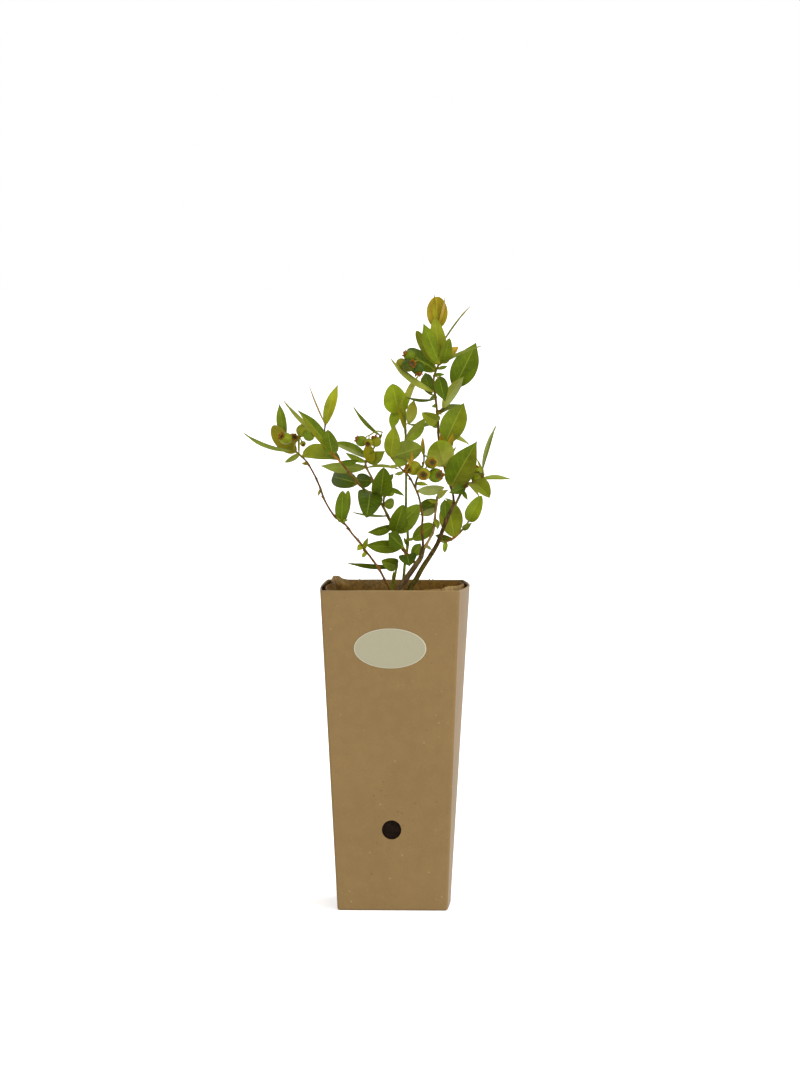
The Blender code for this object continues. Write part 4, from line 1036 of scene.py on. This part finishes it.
def cut_hole(body):
    """Cuts the round hole in the front wall, and paints its edge in the board's own tone."""
    place = (HOLE_X, -half_side(HOLE_Z), HOLE_Z)
    bpy.ops.mesh.primitive_cylinder_add(
        vertices=HOLE_SIDES, radius=HOLE_RADIUS, depth=DRILL_DEPTH, location=place,
        rotation=(math.pi / 2, 0, 0))
    drill = bpy.context.object
    cut = body.modifiers.new("hole", "BOOLEAN")
    cut.object = drill
    cut.solver = "EXACT"
    bpy.context.view_layer.update()
    holed = bpy.data.meshes.new_from_object(body.evaluated_get(bpy.context.evaluated_depsgraph_get()))
    body.modifiers.clear()
    body.data = holed
    paint = holed.color_attributes["tone"].data
    for vertex in holed.vertices:
        off = math.hypot(vertex.co.x - HOLE_X, vertex.co.z - HOLE_Z)
        if vertex.co.y < 0 and off < HOLE_RADIUS + 0.1 * MM:
            paint[vertex.index].color = (*KRAFT, 0.0)
    bpy.data.objects.remove(drill, do_unlink=True)


def make_flap(material):
    """A torn glue flap inside the carton's left wall."""
    rings = []
    for drop in FLAP_DROPS:
        ring = []
        for number in range(2 * FLAP_STEPS + 2):
            step = min(number, 2 * FLAP_STEPS + 1 - number)
            place = Vector(FLAP_START).lerp(Vector(FLAP_END), step / FLAP_STEPS) * MM
            place.x += FLAP_WAVE * math.sin(step * 1.3) + (FLAP_THICKNESS if number > FLAP_STEPS else 0.0)
            place.z = RIM - drop
            if drop < MM:
                place.z -= torn(place, FLAP_TEAR)
            ring.append(place)
        rings.append(ring)
    # The flap darkens downwards with painted shade: the inside shade tone at its foot, the board at 0.8 in
    # its middle, and the torn grey at its top edge.
    tones = [KRAFT_INSIDE_SHADED, Vector(KRAFT) * 0.8, Vector(TORN_GREY) * 1.5]
    dress(build("carton_glue_flap", [loft(rings, tones)], material, 30), "kraft_board")


def liner_pull(angle, level):
    """How far the liner is off the wall: most at the front right corner, then at the left wall's back."""
    slack = 15.0 * bump(angle, -40, 30) + 5.0 * bump(angle, 152, 12)
    slack += 3.0 * bump(angle, -140, 14) + 1.5 * bump(angle, 45, 9)
    ripple = 0.5 + 0.5 * math.sin(math.radians(angle * 11)) * math.cos(math.radians(angle * 4 + 60))
    return (slack + 0.4 * ripple) * MM * level


def liner_rim(angle):
    wave = 0.3 * math.sin(math.radians(angle * 5 + 20)) + 0.2 * math.sin(math.radians(angle * 13))
    fold = 5.4 * bump(angle, 133.5, 2.6) + 2.0 * bump(angle, 128.5, 3) + 1.6 * bump(angle, -20, 30)
    return LINER_RIM + (wave + fold) * MM


def make_liner(material):
    """Crumpled paper round the soil: darkened by painted shade, with painted light on a pale fold on the
    right and on its hump.
    """
    foot = section(LINER_FOOT)
    foot = [point for a, b in zip(foot, foot[1:] + foot[:1]) for point in (a, a.lerp(b, 0.5))]
    rings, tones = [], []
    levels = [step / LINER_LEVELS for step in range(LINER_LEVELS + 1)]
    sheet = [(level, 0.0) for level in levels] + [(level, PAPER_THICKNESS) for level in levels[::-1]]
    for level, thickness in sheet:
        ring, tints = [], []
        for point in foot:
            angle = angle_of(point)
            height = LINER_FOOT + (liner_rim(angle) - LINER_FOOT) * level
            grown = half_side(min(height, RIM)) / half_side(LINER_FOOT)
            flat = Vector((point.x * grown, point.y * grown, 0))
            place = Vector((flat.x, flat.y, height))
            crumple = noise.noise(place * 95) + 0.5 * noise.noise(place * 260)
            pull = BOARD + 0.6 * MM + liner_pull(angle, level) + (0.6 + crumple) * CRUMPLE_DEPTH * level
            place -= flat.normalized() * (pull + thickness) * 1.15
            if level == 1:
                place.z -= torn(place, LINER_TEAR)
            ring.append(place)
            # Painted light on the folds near the rim: on the right, on the hump and at the back.
            pale = bump(angle, -20, 34) + bump(angle, 133, 5) + 0.55 * bump(angle, 104, 22)
            pale = min(pale, 1.0) * ease(level, 0.86, 0.97)
            tints.append(mixed(PAPER_SHADED, PAPER_LIT, pale * (0.75 + 0.4 * crumple)))
        rings.append(ring)
        tones.append(tints)
    skin = loft(rings + rings[:1], tones + tones[:1], caps=False)
    dress(build("liner_paper", [skin], material, 30), "kraft_paper", "paper_liner")


def crumb(centre, size, colour, draw):
    """A rough clod: a ball with every point pushed in or out."""
    x, y, z = Matrix.Identity(3)
    ways = [out * draw.uniform(0.7, 1.2) for _, _, out in ball_ways(CLOD_ROWS, CLOD_SPOKES, z, x, y)]
    verts = [centre + way * size for way in [-z, *ways, z]]
    count = len(verts)
    return Shape(verts, ball_faces(CLOD_ROWS, CLOD_SPOKES), [(*colour, 0.0)] * count, [(0, 0)] * count)


def make_soil(material):
    """Peat that fills the carton, a rough top with clods on it, and a few crumbs spilt on the rim."""
    draw = random.Random(SOIL_SEED)
    under_liner = BOARD + 4 * GAP + LINER_ROOM
    heights = [BOARD + GAP] + [SOIL_SHOULDER * part / 4 for part in (1, 2, 3, 4)]
    rings = [section(height, BOARD + 2 * GAP) for height in heights]
    rings.append(section(SOIL_SHOULDER + GAP, under_liner))
    middle = Vector((TOP_LEAN, 0, SOIL_TOP))
    for step in range(SOIL_RINGS):
        share = 1 - step / SOIL_RINGS
        ring = [middle.lerp(point, share) for point in section(SOIL_TOP, under_liner + SOIL_MARGIN)]
        for place in ring:
            place.z += CRUMB * (noise.noise(place * 120) + 0.6 * noise.noise(place * 420))
        rings.append(ring)
    peat = Vector(PEAT)
    shapes = [loft(rings, [peat] * len(rings))]
    for _ in range(CLODS):
        turn, out = draw.uniform(0, math.tau), math.sqrt(draw.random()) * CLOD_REACH
        place = Vector((out * math.cos(turn), out * math.sin(turn), SOIL_TOP + draw.uniform(0, 1.0) * MM))
        shapes.append(crumb(place, draw.uniform(0.8, 2.4) * MM, peat * draw.uniform(0.7, 2.2), draw))
    for x, y, size in RIM_CRUMBS:
        place = Vector((x * MM, y * MM, RIM + size * 0.4 * MM))
        shapes.append(crumb(place, size * MM, peat * 1.5, draw))
    dress(build("soil_peat", shapes, material, 30), "peat_soil", "soil")


def make_label(material):
    """A bare oval label with a soft, paler edge, on the slope of the front wall."""
    slope = (TOP_HALF - BASE_HALF) / RIM
    up = Vector((0, -slope, 1)).normalized() * LABEL_HEIGHT / 2
    across = Vector((LABEL_WIDTH / 2, 0, 0))
    outward = Vector((0, -1, -slope)).normalized() * MM
    middle = Vector((LABEL_X, -half_side(LABEL_Z), LABEL_Z))
    angles = [math.tau * side / LABEL_SIDES for side in range(LABEL_SIDES)]
    rings = []
    for wide, out in LABEL_RINGS:
        rings.append([middle + around(across, up, turn) * wide + outward * out for turn in angles])
    edge = mixed(LABEL_PAPER, (1.0, 1.0, 0.9), 0.2)
    shape = loft(rings, [edge] * 3 + [LABEL_PAPER] * 3)
    dress(build("label_oval", [shape], material, 40), "label_paper", "label")


def aimed(name, data, way):
    """A light or camera that looks along a way."""
    item = bpy.data.objects.new(name, data)
    item.rotation_euler = Vector(way).to_track_quat("-Z", "Y").to_euler()
    bpy.context.scene.collection.objects.link(item)
    return item


def make_stage():
    """A plain pale floor, an even white surround, and broad soft suns from the front and the right."""
    bpy.ops.mesh.primitive_plane_add(size=FLOOR_SIZE, location=(0, 0, -0.2 * MM))
    floor = bpy.context.object
    floor.name = "floor"
    nodes = Nodes("floor")
    values = {"Base Color": (0.92, 0.92, 0.92, 1.0), "Roughness": 0.9, "Specular IOR Level": 0.1,
              "Emission Color": (1.0, 1.0, 1.0, 1.0), "Emission Strength": 0.3}
    nodes.fill(nodes.shader, values)
    floor.data.materials.append(nodes.material)
    world = bpy.data.worlds.new("surround")
    world.use_nodes = True
    world.node_tree.nodes["Background"].inputs[0].default_value = (1, 1, 1, 1)
    bpy.context.scene.world = world
    for name, energy, softness, way in (
        ("light_front", 1.5, 60, (-0.35, 1.0, -0.35)),
        ("light_right", 1.6, 40, (-1.0, 0.3, -0.75)),
    ):
        lamp = bpy.data.lights.new(name, "SUN")
        lamp.energy = energy
        lamp.angle = math.radians(softness)
        aimed(name, lamp, way)


def make_camera():
    data = bpy.data.cameras.new("camera")
    data.sensor_fit = "VERTICAL"
    data.sensor_height = SENSOR
    data.lens = FOCAL_PIXELS / PHOTO_HEIGHT * SENSOR
    data.clip_end = 100
    camera = aimed("camera", data, TARGET - EYE)
    camera.location = EYE
    bpy.context.scene.camera = camera


def main():
    bpy.context.scene.view_settings.view_transform = "Standard"
    skins = {"leaf": leaf_material(), "bark": bark_material(), "berry": berry_material()}
    for name in STEMS:
        make_shoot(name, skins)
    for name in BUNCHES:
        make_bunch(name, skins)
    kraft = kraft_material()
    make_carton(kraft)
    make_flap(kraft)
    make_label(grain_material("label_paper", 900, 5, 0.97, 1.03, 0.75, 0.2, 0.06, 0.3 * MM))
    make_liner(grain_material("kraft_paper", 420, 5, 0.6, 1.4, 0.75, 0.2, 0.6, 0.3 * MM))
    make_soil(grain_material("peat_soil", 420, 6, 0.4, 1.9, 0.95, 0.12, 1.0, 1.2 * MM))
    make_stage()
    make_camera()


main()
